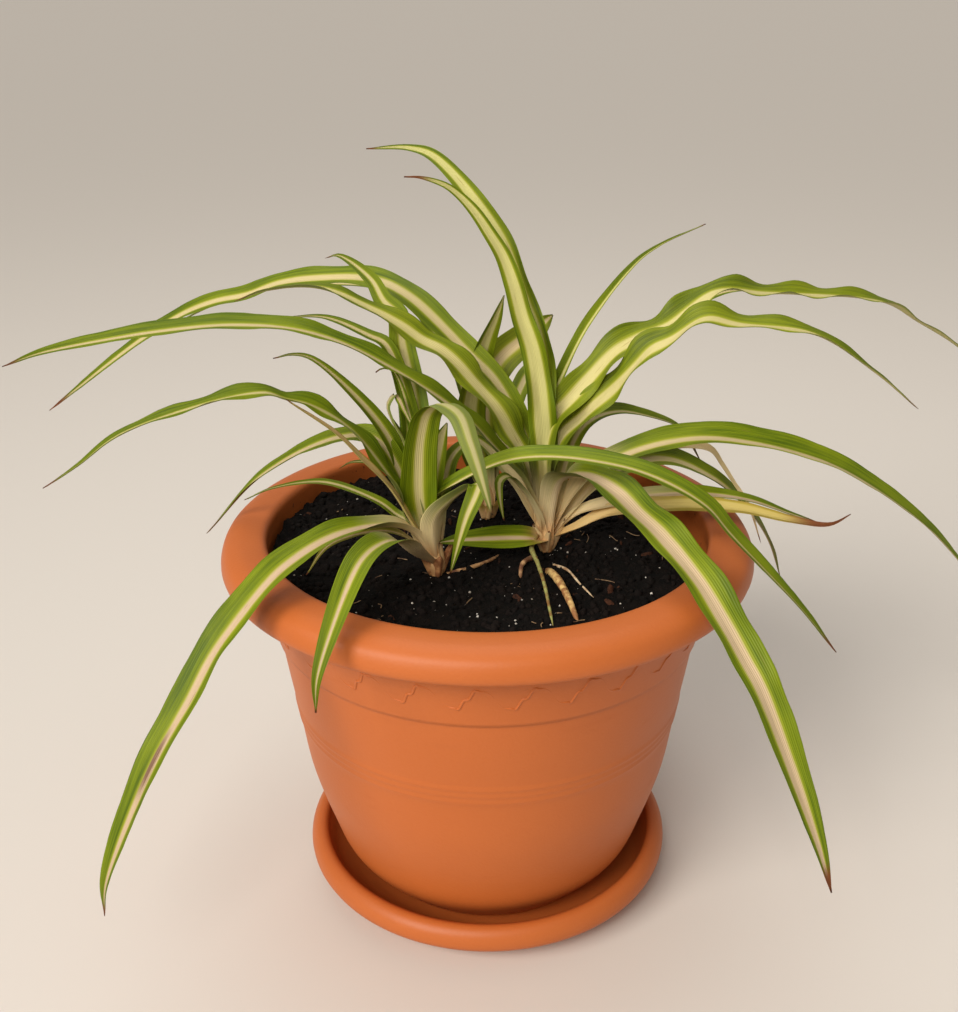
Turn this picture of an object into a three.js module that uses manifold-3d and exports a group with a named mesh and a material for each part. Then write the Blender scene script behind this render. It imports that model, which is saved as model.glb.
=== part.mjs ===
// Potted spider plant: three rosettes of striped strap leaves in a plastic pot on its saucer.
// Millimetres, +Z up. The origin is the middle of the saucer's underside, on the table.
// The front of the plant faces -Y.
import * as THREE from 'three';
import { mergeVertices } from 'three/addons/utils/BufferGeometryUtils.js';
import Module from 'manifold-3d';

const wasm = await Module();
wasm.setup();

// Clearance between pieces that touch
const GAP = 0.3;

// Sides of the round bodies
const ROUND_SIDES = 44;
const SOIL_SIDES = 36;

// Smallest feature kept where leaf bases run together, and where a leaf is trimmed
const CROWN_DETAIL = 0.6;
const LEAF_DETAIL = 0.1;

// Saucer
const SAUCER_RADIUS = 97.8;
const SAUCER_LIP_RADIUS = 90.2;
const SAUCER_HEIGHT = 25.8;
const SAUCER_FOOT_RADIUS = 66;
const SAUCER_FLOOR = 3;

// Pot
const POT_SEAT = SAUCER_FLOOR + GAP;
const POT_FOOT_RADIUS = 57;
const POT_FLOOR = 8.5;
const RIM_RADIUS = 132;
const RIM_TOP = 203;
const RIM_UNDERSIDE = 187.3;
const MOUTH_RADIUS = 109.4;
const BAND_TOP_RADIUS = 117;
const BAND_FOOT_RADIUS = 107.6;
const BAND_FOOT = 153.6;
const DRAIN_HOLES = 5;
const DRAIN_RADIUS = 4.5;
const DRAIN_RING_RADIUS = 34;

// Soil
const SOIL_LEVEL = 184;
const SOIL_FOOT = POT_FLOOR + GAP;

// Leaves
const BLADE_THICKNESS = 0.9;
const TIP_WIDTH = 1.4;
const SHEATH_FOLD = 48;
const PLAIN_STEP = 17;
const WAVED_STEP = 10;
const WAVE_LENGTH = 34;

const PLASTIC = { color: 0xc0713d, roughness: 0.5, metalness: 0 };
const SOIL = { color: 0x15110f, roughness: 0.95, metalness: 0 };
const LEAF = { color: 0x7f9a35, roughness: 0.45, metalness: 0 };
const SHEATH = { color: 0xd2c190, roughness: 0.6, metalness: 0 };
const DRY = { color: 0xc79a55, roughness: 0.75, metalness: 0 };

// Each rosette grows from a crown: the foot of its stem on the soil, and how thick and tall
// the cluster of sheathing leaf bases is.
const CROWNS = {
  left: { foot: [-25, -22], radius: 6, spread: 12, top: 217 },
  right: { foot: [30, 6], radius: 6.5, spread: 14, top: 224 },
  back: { foot: [0, 46], radius: 5.5, spread: 10, top: 212 },
};

// One entry for each leaf. rib: points that the midrib runs through from the crown to the tip.
// width: widest width. fold: how far each half is raised, in degrees. roll: turn about the rib
// at the foot, middle and tip, in degrees. wave: rise and fall of the edges. blunt: how late the
// blade narrows. foot: share of the width at the foot.
const LEAVES = [
  { name: 'leaf_front_right', crown: 'right', width: 20, roll: [0, 8, 8], wave: 1.1, blunt: 3.4,
    rib: [[35, -1, 226], [46, -17, 236], [60, -36, 235], [69, -50, 230], [79, -64, 225], [94, -85, 212],
      [111, -109, 187], [116, -117, 179], [137, -147, 125], [143, -156, 104]] },
  { name: 'leaf_front_left', crown: 'left', width: 15, roll: [0, -6, -6], wave: 0.6, blunt: 3.6,
    rib: [[-35, -31, 212], [-47, -42, 221], [-68, -62, 225], [-91, -83, 218], [-116, -106, 193],
      [-128, -118, 173], [-141, -130, 152], [-161, -149, 104], [-163, -151, 87]] },
  { name: 'leaf_crossing_right', crown: 'left', width: 12, roll: [15, 17, 10],
    rib: [[-28, -21, 222], [-21, -23, 230], [14, -32, 250], [65, -44, 250], [98, -53, 236],
      [111, -56, 222], [143, -64, 189], [161, -68, 167]] },
  { name: 'leaf_low_right', crown: 'right', width: 14, roll: [30, 24, 10], wave: 0.7,
    rib: [[44, 7, 218], [56, 7, 230], [104, 10, 245], [166, 13, 233], [219, 16, 200], [246, 17, 174],
      [265, 18, 150]] },
  { name: 'leaf_high_right', crown: 'right', width: 15, roll: [55, 14, 0], wave: 2.6,
    rib: [[29, 6, 251], [41, 9, 265], [62, 16, 287], [74, 19, 294], [87, 23, 298], [110, 30, 313],
      [140, 40, 310], [204, 59, 300], [225, 66, 288], [251, 74, 272], [281, 83, 247]] },
  { name: 'leaf_mid_right', crown: 'right', width: 15, roll: [55, 26, 0], wave: 2.6,
    rib: [[34, 6, 244], [46, 5, 257], [68, 3, 282], [77, 3, 293], [86, 2, 298], [102, 1, 308],
      [119, 0, 305], [152, -3, 301], [183, -5, 282], [205, -6, 264]] },
  { name: 'leaf_tall', crown: 'right', width: 13, roll: [-62, -58, -20], wave: 2.0,
    rib: [[26, 9, 250], [22, 14, 293], [16, 17, 310], [6, 23, 339], [-24, 36, 375], [-37, 41, 379],
      [-58, 46, 377]] },
  { name: 'leaf_long_left', crown: 'right', width: 15, roll: [-20, -14, -5], wave: 0.8,
    rib: [[20, 4, 223], [9, 1, 237], [-14, -6, 264], [-72, -20, 304], [-114, -28, 312],
      [-191, -44, 304], [-210, -48, 298]] },
  { name: 'leaf_twisted_left', crown: 'right', width: 14, roll: [-50, -45, -20], wave: 1.6,
    rib: [[21, 6, 230], [0, 4, 265], [-21, 3, 287], [-31, 3, 293], [-41, 3, 301], [-77, 1, 320],
      [-103, -1, 319], [-117, -2, 314]] },
  { name: 'leaf_arched_left', crown: 'right', width: 14, roll: [-40, -30, -10], wave: 0.6,
    rib: [[21, 14, 237], [5, 22, 268], [-10, 29, 282], [-38, 42, 306], [-58, 52, 313], [-108, 71, 307],
      [-127, 77, 299], [-146, 83, 294], [-166, 90, 285], [-197, 98, 265], [-255, 114, 221]] },
  { name: 'leaf_tall_twin', crown: 'right', width: 10, roll: [-60, -60, -20], wave: 1.5,
    rib: [[23, 5, 251], [18, 7, 295], [1, 10, 342], [-13, 12, 359], [-38, 14, 369]] },
  { name: 'leaf_wavy_left', crown: 'left', width: 12, roll: [-25, -14, -8], wave: 2,
    rib: [[-39, -25, 220], [-41, -25, 229], [-63, -30, 264], [-79, -33, 276], [-90, -36, 280],
      [-100, -38, 284], [-161, -51, 269], [-181, -55, 255], [-197, -58, 245]] },
  { name: 'leaf_front_short', crown: 'left', width: 16, roll: [0, -6, -10], blunt: 2.6,
    rib: [[-35, -46, 209], [-40, -58, 220], [-44, -70, 226], [-51, -86, 228], [-56, -100, 225],
      [-69, -131, 193], [-70, -134, 178]] },
  { name: 'leaf_kinked', crown: 'left', width: 15, roll: [180, 180, 180], blunt: 2.6, fold: 12,
    rib: [[-34, -25, 217], [-34, -26, 231], [-32, -29, 263], [-21, -35, 277], [-14, -38, 276],
      [-7, -44, 261], [2, -51, 229]] },
  { name: 'leaf_upright_left', crown: 'left', width: 13, roll: [-50, -50, -30],
    rib: [[-33, -8, 244], [-36, 3, 267], [-41, 12, 291], [-43, 16, 304], [-50, 20, 310], [-56, 25, 319],
      [-72, 32, 329], [-79, 35, 327]] },
  { name: 'leaf_hooked_left', crown: 'left', width: 10, roll: [-40, -30, -10],
    rib: [[-36, -10, 239], [-38, -4, 263], [-48, 3, 293], [-56, 5, 297], [-76, 7, 305], [-97, 8, 305]] },
  { name: 'leaf_thin_right', crown: 'right', width: 9, roll: [50, 30, 0],
    rib: [[29, 5, 264], [34, 10, 276], [48, 21, 298], [71, 41, 322], [84, 52, 329], [112, 75, 336]] },
  { name: 'leaf_bent_right', crown: 'right', width: 12, roll: [20, 15, 10],
    rib: [[57, 12, 222], [69, 14, 228], [94, 20, 229], [117, 24, 215], [147, 31, 183], [159, 33, 154]] },
  { name: 'leaf_yellow_right', crown: 'right', width: 11, roll: [15, 15, 5],
    rib: [[57, 2, 206], [71, -1, 210], [103, -6, 213], [169, -16, 208], [176, -17, 213]] },
  { name: 'leaf_pale_right', crown: 'right', width: 8, roll: [15, 15, 5],
    rib: [[57, 8, 209], [85, 10, 214], [114, 12, 212], [163, 15, 198]] },
  { name: 'leaf_low_back_right', crown: 'right', width: 9, roll: [30, 20, 10],
    rib: [[51, 17, 251], [61, 22, 254], [87, 36, 243], [99, 43, 238], [116, 52, 209]] },
  { name: 'leaf_dry_right', crown: 'right', width: 6, roll: [30, 40, 60], blunt: 2.4,
    rib: [[52, 15, 232], [77, 25, 241], [99, 34, 238], [114, 40, 227], [146, 53, 180], [153, 56, 161]] },
  { name: 'leaf_low_left', crown: 'left', width: 9, roll: [-25, -20, -10], wave: 0.5,
    rib: [[-51, -15, 251], [-69, -10, 252], [-111, 1, 228], [-144, 10, 191]] },
  { name: 'leaf_small_left', crown: 'left', width: 7, roll: [-15, -15, -10],
    rib: [[-39, -20, 212], [-44, -19, 215], [-52, -18, 221], [-78, -15, 230], [-105, -11, 225],
      [-119, -9, 218]] },
  { name: 'leaf_pale_left', crown: 'left', width: 5, roll: [-20, -20, -20],
    rib: [[-46, -33, 236], [-57, -38, 251], [-67, -43, 265], [-87, -54, 285]] },
  { name: 'leaf_stub_left', crown: 'left', width: 5, roll: [-10, -10, -10],
    rib: [[-48, -11, 235], [-54, -8, 237], [-67, -2, 235], [-73, 0, 231]] },
  { name: 'leaf_slender_left', crown: 'left', width: 9, roll: [-40, -30, -10],
    rib: [[-38, -15, 219], [-44, -13, 246], [-55, -13, 265], [-81, -13, 291], [-90, -13, 293],
      [-99, -13, 291]] },
  { name: 'leaf_nodding_left', crown: 'left', width: 7, roll: [-40, -40, -40],
    rib: [[-38, -24, 235], [-42, -26, 256], [-47, -28, 270], [-41, -30, 281], [-34, -34, 264]] },
  { name: 'leaf_curled_tip', crown: 'left', width: 7, roll: [-50, -50, -60],
    rib: [[-33, -21, 239], [-35, -19, 258], [-44, -12, 285], [-49, -12, 286], [-52, -12, 284]] },
  { name: 'leaf_slip_left', crown: 'left', width: 6, roll: [60, 60, 60],
    rib: [[-30, -19, 221], [-28, -18, 231], [-26, -17, 245], [-21, -16, 260]] },
  { name: 'leaf_tiny_left', crown: 'left', width: 6, roll: [-10, -10, -10],
    rib: [[-42, -32, 211], [-55, -41, 216], [-73, -52, 214], [-83, -58, 202]] },
  { name: 'leaf_hanging_front', crown: 'left', width: 9, roll: [10, 20, 20], blunt: 2.6,
    rib: [[-19, -34, 223], [-10, -42, 237], [-3, -47, 241], [-6, -52, 237], [-17, -60, 204]] },
  { name: 'leaf_flat_front', crown: 'right', width: 10, roll: [-20, -25, -20], blunt: 2.6,
    rib: [[24, -2, 195], [14, -7, 198], [-6, -17, 201], [-23, -26, 201]] },
  { name: 'leaf_upright_back', crown: 'back', width: 12, roll: [-60, -60, -60],
    rib: [[-1, 42, 207], [-5, 38, 226], [-6, 33, 258], [0, 31, 287], [8, 30, 310]] },
  { name: 'leaf_folded_back', crown: 'back', width: 12, roll: [-60, -60, -60], blunt: 9,
    rib: [[2, 48, 211], [5, 54, 256], [13, 58, 272], [36, 65, 292]] },
  { name: 'leaf_back_left', crown: 'back', width: 12, roll: [-20, -15, -10], wave: 0.5,
    rib: [[-7, 58, 224], [-18, 70, 264], [-50, 95, 295], [-117, 122, 292], [-159, 135, 278],
      [-194, 145, 259]] },
  { name: 'leaf_back_right', crown: 'back', width: 12, roll: [20, 20, 10],
    rib: [[9, 58, 218], [48, 82, 244], [70, 95, 261], [114, 116, 281], [135, 127, 288], [205, 150, 278]] },
  { name: 'leaf_back', crown: 'back', width: 13, roll: [0, 0, 0], wave: 0.6,
    rib: [[4, 62, 214], [13, 78, 234], [21, 98, 246], [27, 120, 247], [30, 143, 238], [34, 163, 220],
      [37, 180, 193]] },
];

// Half-buried roots at the surface: points of the middle line, and radius.
const ROOTS = [
  { name: 'root_right', radius: 3.2, points: [[33, -1, 183], [38, -14, 184], [42, -30, 184.5], [48, -48, 182]] },
  { name: 'root_left', radius: 1.4, points: [[-20, -22, 184], [-10, -18, 185], [2, -8, 185], [9, 6, 183.5]] },
  { name: 'withered_right', radius: 1, points: [[28, 1, 190], [26, -6, 189], [28, -22, 186], [32, -50, 184]] },
];

const vec = ([x, y, z]) => new THREE.Vector3(x, y, z);
const radians = THREE.MathUtils.degToRad;

// A closed geometry with merged vertices, no needle triangles and its faces pointing out.
function closed(geometry) {
  geometry.deleteAttribute('normal');
  geometry.deleteAttribute('uv');
  const merged = mergeVertices(geometry, 1e-4);
  const at = merged.attributes.position;
  const index = [];
  let volume = 0;
  for (let i = 0; i < merged.index.count; i += 3) {
    const [a, b, c] = [0, 1, 2].map((k) => merged.index.getX(i + k));
    if (a === b || b === c || c === a) continue;
    index.push(a, b, c);
    const [p, q, r] = [a, b, c].map((k) => new THREE.Vector3().fromBufferAttribute(at, k));
    volume += p.dot(q.cross(r));
  }
  if (volume < 0) index.reverse();
  merged.setIndex(index);
  return merged;
}

function toSolid(geometry) {
  const merged = closed(geometry);
  return new wasm.Manifold(new wasm.Mesh({
    numProp: 3,
    vertProperties: new Float32Array(merged.attributes.position.array),
    triVerts: new Uint32Array(merged.index.array),
  }));
}

function toGeometry(solid) {
  const mesh = solid.getMesh();
  const geometry = new THREE.BufferGeometry();
  geometry.setAttribute('position', new THREE.BufferAttribute(new Float32Array(mesh.vertProperties), 3));
  geometry.setIndex(new THREE.BufferAttribute(new Uint32Array(mesh.triVerts), 1));
  return geometry;
}

// The largest body of a solid that a cut may have left in several.
function largest(solid) {
  return solid.decompose().reduce((best, body) => (body.volume() > best.volume() ? body : best));
}

// The largest body, without features smaller than the detail and without sealed pockets.
function cleaned(solid, detail) {
  return largest(largest(solid).simplify(detail));
}

function revolve(outline, segments) {
  const geometry = new THREE.LatheGeometry(outline, segments);
  return geometry.rotateX(Math.PI / 2);
}

// An outline of straight lines and smooth stretches: each entry is one corner, or a list of
// points that one smooth curve runs through from the corner before it.
function outline(entries) {
  const path = new THREE.Path();
  path.moveTo(...entries[0]);
  for (const entry of entries.slice(1)) {
    if (Array.isArray(entry[0])) path.splineThru(entry.map(([x, y]) => new THREE.Vector2(x, y)));
    else path.lineTo(...entry);
  }
  return path.curves.flatMap((curve, i) => {
    const steps = curve.isSplineCurve ? curve.points.length - 1 : 1;
    return curve.getPoints(steps).slice(i === 0 ? 0 : 1);
  });
}

function saucerSolid() {
  const lip = SAUCER_HEIGHT;
  return toSolid(revolve(outline([
    [0, 0],
    [SAUCER_FOOT_RADIUS, 0],
    [[74, 1.4], [85, 6.6], [93.2, 12.2]],
    [[SAUCER_RADIUS - 0.6, 14.6], [SAUCER_RADIUS, 18.4], [95.6, 23.8], [SAUCER_LIP_RADIUS + 1.6, lip]],
    [[SAUCER_LIP_RADIUS - 1, lip - 1], [88.2, 21.2]],
    [[83, 11], [75, 5], [67, SAUCER_FLOOR]],
    [0, SAUCER_FLOOR],
  ]), ROUND_SIDES));
}

function potSolid() {
  const recess = POT_SEAT + 2.2;
  let pot = toSolid(revolve(outline([
    [0, recess],
    [POT_FOOT_RADIUS - 7, recess],
    [POT_FOOT_RADIUS - 5.5, POT_SEAT],
    [POT_FOOT_RADIUS, POT_SEAT],
    [[63, 6.4], [70, 14], [80, 26.5], [86.6, 45], [95, 75], [100.4, 110], [106.4, BAND_FOOT - 1]],
    [BAND_FOOT_RADIUS, BAND_FOOT],
    [BAND_TOP_RADIUS, RIM_UNDERSIDE - 0.4],
    [RIM_RADIUS - 4, RIM_UNDERSIDE],
    [[RIM_RADIUS - 0.9, RIM_UNDERSIDE + 1], [RIM_RADIUS, RIM_UNDERSIDE + 4], [129.6, 198.6],
      [123.5, RIM_TOP - 0.8], [117, RIM_TOP]],
    [[MOUTH_RADIUS + 2.6, RIM_TOP - 0.4], [MOUTH_RADIUS, RIM_TOP - 3], [MOUTH_RADIUS + 0.3, 194]],
    [MOUTH_RADIUS + 1.4, RIM_UNDERSIDE - 1],
    [BAND_FOOT_RADIUS - 3, BAND_FOOT],
    [[97.4, 110], [92, 75], [83.4, 46], [76.2, 28], [66, 14.6], [58, 10]],
    [50, POT_FLOOR],
    [0, POT_FLOOR],
  ]), ROUND_SIDES));
  for (let i = 0; i < DRAIN_HOLES; i += 1) {
    const angle = (2 * Math.PI * i) / DRAIN_HOLES + 0.3;
    const hole = new THREE.CylinderGeometry(DRAIN_RADIUS, DRAIN_RADIUS, 20, 12);
    hole.rotateX(Math.PI / 2);
    hole.translate(DRAIN_RING_RADIUS * Math.cos(angle), DRAIN_RING_RADIUS * Math.sin(angle), POT_FLOOR);
    pot = pot.subtract(toSolid(hole));
  }
  return pot;
}

// The soil's uneven top, as a height above its level.
function soilRelief(x, y) {
  return 0.9 * Math.sin(x / 13 + 0.6) * Math.cos(y / 11) + 0.7 * Math.sin((x + y) / 7.5)
    - 1.4 * ((x * x + y * y) / 11500);
}

function soilSolid() {
  const rings = [100, 80, 56, 28].map((radius) => new THREE.Vector2(radius, SOIL_LEVEL));
  const wall = outline([
    [0, SOIL_FOOT],
    [49, SOIL_FOOT],
    [[57.6, 10.6], [65.4, 15.2], [75.6, 28.4], [82.8, 46.2], [91.4, 75.2], [96.8, 110], [103.9, BAND_FOOT]],
    [109.2, SOIL_LEVEL - 2],
  ]);
  const geometry = revolve([...wall, ...rings, new THREE.Vector2(0, SOIL_LEVEL)], SOIL_SIDES);
  const at = geometry.attributes.position;
  for (let i = 0; i < at.count; i += 1) {
    if (at.getZ(i) > SOIL_LEVEL - 0.5) at.setZ(i, SOIL_LEVEL + soilRelief(at.getX(i), at.getY(i)));
  }
  return toSolid(geometry);
}

const mix = (a, b, t) => a + (b - a) * t;
const smooth = (t) => THREE.MathUtils.smoothstep(t, 0, 1);

// Share of the full width at t, from the sheath at 0 to the pointed tip at 1.
function widthShare(leaf, t) {
  const opening = mix(leaf.foot ?? 0.42, 1, smooth(t / 0.3));
  return opening * (1 - t ** (leaf.blunt ?? 2.2)) ** 0.85;
}

// The folded, rolled and waved cross-sections of a leaf, as [left edge, rib, right edge] with the
// direction that the upper face looks in.
function sections(leaf) {
  const [footX, footY] = CROWNS[leaf.crown].foot;
  const points = [vec([footX, footY, SOIL_LEVEL + 6]), ...leaf.rib.map(vec)];
  const rib = new THREE.CatmullRomCurve3(points, false, 'centripetal');
  const length = rib.getLength();
  const count = Math.max(8, Math.round(length / (leaf.wave > 1 ? WAVED_STEP : PLAIN_STEP)));
  const tip = points[points.length - 1];
  const heading = Math.atan2(tip.y - footY, tip.x - footX);
  const level = new THREE.Vector3(Math.sin(heading), -Math.cos(heading), 0);
  const list = [];
  for (let i = 0; i <= count; i += 1) {
    const t = i / count;
    const along = rib.getTangentAt(t);
    const across = level.clone().addScaledVector(along, -level.dot(along)).normalize();
    const [footRoll, middleRoll, tipRoll] = leaf.roll;
    const roll = t < 0.5 ? mix(footRoll, middleRoll, smooth(2 * t)) : mix(middleRoll, tipRoll, smooth(2 * t - 1));
    across.applyAxisAngle(along, radians(roll));
    const up = new THREE.Vector3().crossVectors(across, along);
    const fold = radians(mix(SHEATH_FOLD, leaf.fold ?? 20, smooth(t / 0.35)));
    const half = Math.max(leaf.width * widthShare(leaf, t), TIP_WIDTH) / 2;
    const swell = Math.sin(Math.PI * t ** 0.6) * (leaf.wave ?? 0);
    const phase = (2 * Math.PI * t * length) / WAVE_LENGTH;
    const depth = half * Math.sin(fold);
    const edges = [-1, 1].map((side) => {
      const wave = swell * Math.sin(phase + 1.1 * side) * (half / (leaf.width / 2));
      return { side, rise: depth + wave, reach: half * Math.cos(fold) };
    });
    const centre = rib.getPointAt(t).addScaledVector(up, -0.5 * depth);
    list.push({ centre, across, up, edges });
  }
  return list;
}

// A closed blade, split into triangles alike on both faces. grow thickens and widens it.
function bladeGeometry(leaf, grow = 0) {
  const position = [];
  const index = [];
  const lift = BLADE_THICKNESS / 2 + grow;
  const stations = sections(leaf);
  for (const { centre, across, up, edges } of stations) {
    const [left, right] = edges.map(({ side, rise, reach }) => centre.clone()
      .addScaledVector(across, side * (reach + grow)).addScaledVector(up, rise));
    for (const point of [left, centre, right]) {
      position.push(...point.clone().addScaledVector(up, lift).toArray());
      position.push(...point.clone().addScaledVector(up, -lift).toArray());
    }
  }
  const quad = (a, b, c, d) => index.push(a, b, c, a, c, d);
  for (let i = 0; i + 1 < stations.length; i += 1) {
    const a = 6 * i;
    const b = a + 6;
    for (const k of [0, 2]) {
      quad(a + k, a + k + 2, b + k + 2, b + k);
      index.push(a + k + 1, b + k + 3, a + k + 3, a + k + 1, b + k + 1, b + k + 3);
    }
    quad(a, b, b + 1, a + 1);
    quad(a + 4, a + 5, b + 5, b + 4);
  }
  const last = 6 * (stations.length - 1);
  quad(0, 1, 3, 2);
  quad(2, 3, 5, 4);
  quad(last, last + 2, last + 3, last + 1);
  quad(last + 2, last + 4, last + 5, last + 3);
  const geometry = new THREE.BufferGeometry();
  geometry.setAttribute('position', new THREE.Float32BufferAttribute(position, 3));
  geometry.setIndex(index);
  return geometry;
}

function coreSolid(crown, grow = 0) {
  const { radius, top } = crown;
  const foot = SOIL_LEVEL - 12 - grow;
  const geometry = revolve(outline([
    [0, foot],
    [radius * 0.7 + grow, foot],
    [radius * 0.8 + grow, SOIL_LEVEL],
    [[radius + grow, SOIL_LEVEL + 12], [radius * 0.75 + grow, top - 8], [radius * 0.2, top + grow]],
    [0, top + grow],
  ]), 10);
  geometry.translate(crown.foot[0], crown.foot[1], 0);
  return toSolid(geometry);
}

// The room round a crown in which the leaf bases are one body with it.
function crownRoom(crown, grow = 0) {
  const ball = new THREE.SphereGeometry(1, 12, 8);
  ball.rotateX(Math.PI / 2);
  const height = (crown.top - SOIL_LEVEL) / 2 + 4;
  ball.scale(crown.spread + grow, crown.spread + grow, height + grow);
  ball.translate(crown.foot[0], crown.foot[1], SOIL_LEVEL + 2 + height);
  return toSolid(ball);
}

function rootSolid({ radius, points }, grow = 0) {
  const path = new THREE.CatmullRomCurve3(points.map(vec));
  const ring = new THREE.Shape().absarc(0, 0, radius + grow, 0, 2 * Math.PI);
  const tube = new THREE.ExtrudeGeometry(ring, { extrudePath: path, steps: 6, curveSegments: 3 });
  return toSolid(tube);
}

const solids = [];
const add = (name, solid, finish) => solids.push({ name, solid, finish });

function buildPlant() {
  let soil = soilSolid();
  const roots = ROOTS.map((root) => ({ ...root, solid: rootSolid(root) }));
  const crowns = Object.entries(CROWNS).map(([key, crown]) => {
    const room = crownRoom(crown);
    let solid = coreSolid(crown);
    for (const leaf of LEAVES.filter((item) => item.crown === key)) {
      solid = solid.add(toSolid(bladeGeometry(leaf)).intersect(room));
    }
    for (const root of roots.filter((item) => item.name.endsWith(key))) solid = solid.add(root.solid);
    soil = soil.subtract(coreSolid(crown, GAP));
    return { key, solid: cleaned(solid, CROWN_DETAIL), room: crownRoom(crown, GAP), core: coreSolid(crown, GAP) };
  });
  for (const root of ROOTS) soil = soil.subtract(rootSolid(root, GAP));
  add('soil', largest(soil), SOIL);
  crowns.forEach(({ key, solid }) => add(`crown_${key}`, solid, SHEATH));
  const placed = [];
  for (const leaf of LEAVES) {
    let blade = toSolid(bladeGeometry(leaf));
    for (const { room, core } of crowns) blade = blade.subtract(room).subtract(core);
    for (const other of placed) blade = blade.subtract(other);
    add(leaf.name, cleaned(blade, LEAF_DETAIL), leaf.name.includes('dry') ? DRY : LEAF);
    placed.push(toSolid(bladeGeometry(leaf, GAP)));
  }
}

add('saucer', saucerSolid(), PLASTIC);
add('pot', potSolid(), PLASTIC);
buildPlant();

const group = new THREE.Group();
for (const { name, solid, finish } of solids) {
  const mesh = new THREE.Mesh(toGeometry(solid), new THREE.MeshStandardMaterial(finish));
  mesh.name = name;
  group.add(mesh);
}

export default group;
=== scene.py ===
import math
import random
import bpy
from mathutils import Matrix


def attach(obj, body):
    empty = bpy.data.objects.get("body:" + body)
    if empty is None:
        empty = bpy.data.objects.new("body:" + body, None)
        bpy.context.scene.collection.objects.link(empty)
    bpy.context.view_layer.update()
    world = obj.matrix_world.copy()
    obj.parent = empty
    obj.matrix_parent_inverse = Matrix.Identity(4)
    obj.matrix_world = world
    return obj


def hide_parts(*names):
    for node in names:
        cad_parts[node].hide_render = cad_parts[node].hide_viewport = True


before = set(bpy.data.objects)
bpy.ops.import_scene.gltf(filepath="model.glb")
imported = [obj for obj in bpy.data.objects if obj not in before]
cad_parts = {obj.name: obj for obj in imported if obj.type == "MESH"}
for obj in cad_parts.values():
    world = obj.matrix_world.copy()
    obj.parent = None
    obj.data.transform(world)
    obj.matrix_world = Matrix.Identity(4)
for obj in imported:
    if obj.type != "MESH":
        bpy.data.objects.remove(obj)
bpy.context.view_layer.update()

from types import SimpleNamespace

import bmesh
import bpy
from mathutils import Matrix, Vector

# Lengths below are millimetres where nothing else is said. Blender's are metres.
MM = 0.001

# Pot
MOUTH_RADIUS = 109.4
RIM_RADIUS = 132
RIM_TOP = 203
RIM_UNDERSIDE = 187.3
BAND_FOOT = 153.6
BAND_FOOT_RADIUS = 107.6
BAND_TOP_RADIUS = 117
POT_SEAT = 3.3
POT_FLOOR = 8.5
FINE_LINES = (106, 109.9, 113.7)
FINE_LINE_HEIGHT = 0.35

# Pot's side where the fine lines are: its radius at one height, and its slope
SIDE_HEIGHT = 75
SIDE_RADIUS = 95
SIDE_SLOPE = 0.153

# Wave relief on the pot's band
WAVE_PERIODS = 28
WAVE_MIDDLE = 169.6
WAVE_RISE = 5.4
WAVE_LEAN = 0.015
WAVE_LINE_RADIUS = 0.8

# Saucer
SAUCER_RADIUS = 97.8
SAUCER_LIP_RADIUS = 90.2
SAUCER_HEIGHT = 25.8

# Steps along lines
SPAN_STEPS = 24
STRAIGHT_STEP = 14
ROOT_STEPS = 40
ROOTLET_STEPS = 12
RIB_STEPS = 220
WAVE_STEPS = 40

# Sides of round bodies and tubes
ROUND_SIDES = 180
SOIL_SIDES = 300
STEM_SIDES = 40
ROOT_SIDES = 12
ROOTLET_SIDES = 5
WAVE_SIDES = 8
LUMP_SIDES = 7
LUMP_RINGS = 5

# Points this close are made one
MERGE_DISTANCE = 0.001

# Soil
SOIL_LEVEL = 184
SOIL_RADIUS = 109.2
SOIL_ROUGHNESS = 2.2
SOIL_HEAP = 8.5
SOIL_TOP_DEPTH = 6

# Widest random turn of what lies on the soil, in radians
WIDEST_TURN = 6.3

# Lumps on the soil. sizes: smallest and largest radius. stretch: along, across and up. sink:
# how deep a lump lies. reach: farthest place from the axis. colours: the two of its mottle.
SOIL_LUMPS = [
    dict(name="soil_crumbs", skin="crumb_earth", colours=((6, 5, 4), (22, 15, 12)), count=2600, seed=3,
         sizes=(0.5, 3), stretch=(1.0, 0.8, 0.7), sink=0.2, reach=106),
    dict(name="soil_perlite", skin="perlite", colours=((205, 200, 192), (150, 140, 128)), count=300,
         seed=11, sizes=(0.16, 0.8), stretch=(1.0, 0.9, 0.8), sink=0, reach=105),
    dict(name="soil_bark", skin="bark", colours=((30, 19, 14), (78, 46, 30)), count=40, seed=23,
         sizes=(1, 3), stretch=(1.5, 0.7, 0.35), sink=0, reach=103),
]

# Rootlets on the soil
ROOTLETS = dict(count=55, seed=5, length=8, radius=0.22, reach=92, colours=((158, 128, 92), (84, 58, 40)))

# Leaves
LEAF_THICKNESS = 0.5
TIP_WIDTH = 0.8
SHEATH_FOLD = 48
WAVE_LENGTH = 34
LEAF_STEP = 2.4
LEAF_COLUMNS = 17
SEED_STEP = 3.7

# Each rosette grows from a crown: the foot of its stem on the soil, the stem's radius, and how
# many millimetres of its leaves are pale at the base.
CROWNS = {
    "left": dict(foot=(-25, -22), radius=4.4, base=28),
    "right": dict(foot=(30, 6), radius=4.8, base=38),
    "back": dict(foot=(0, 46), radius=4.2, base=22),
}

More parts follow.
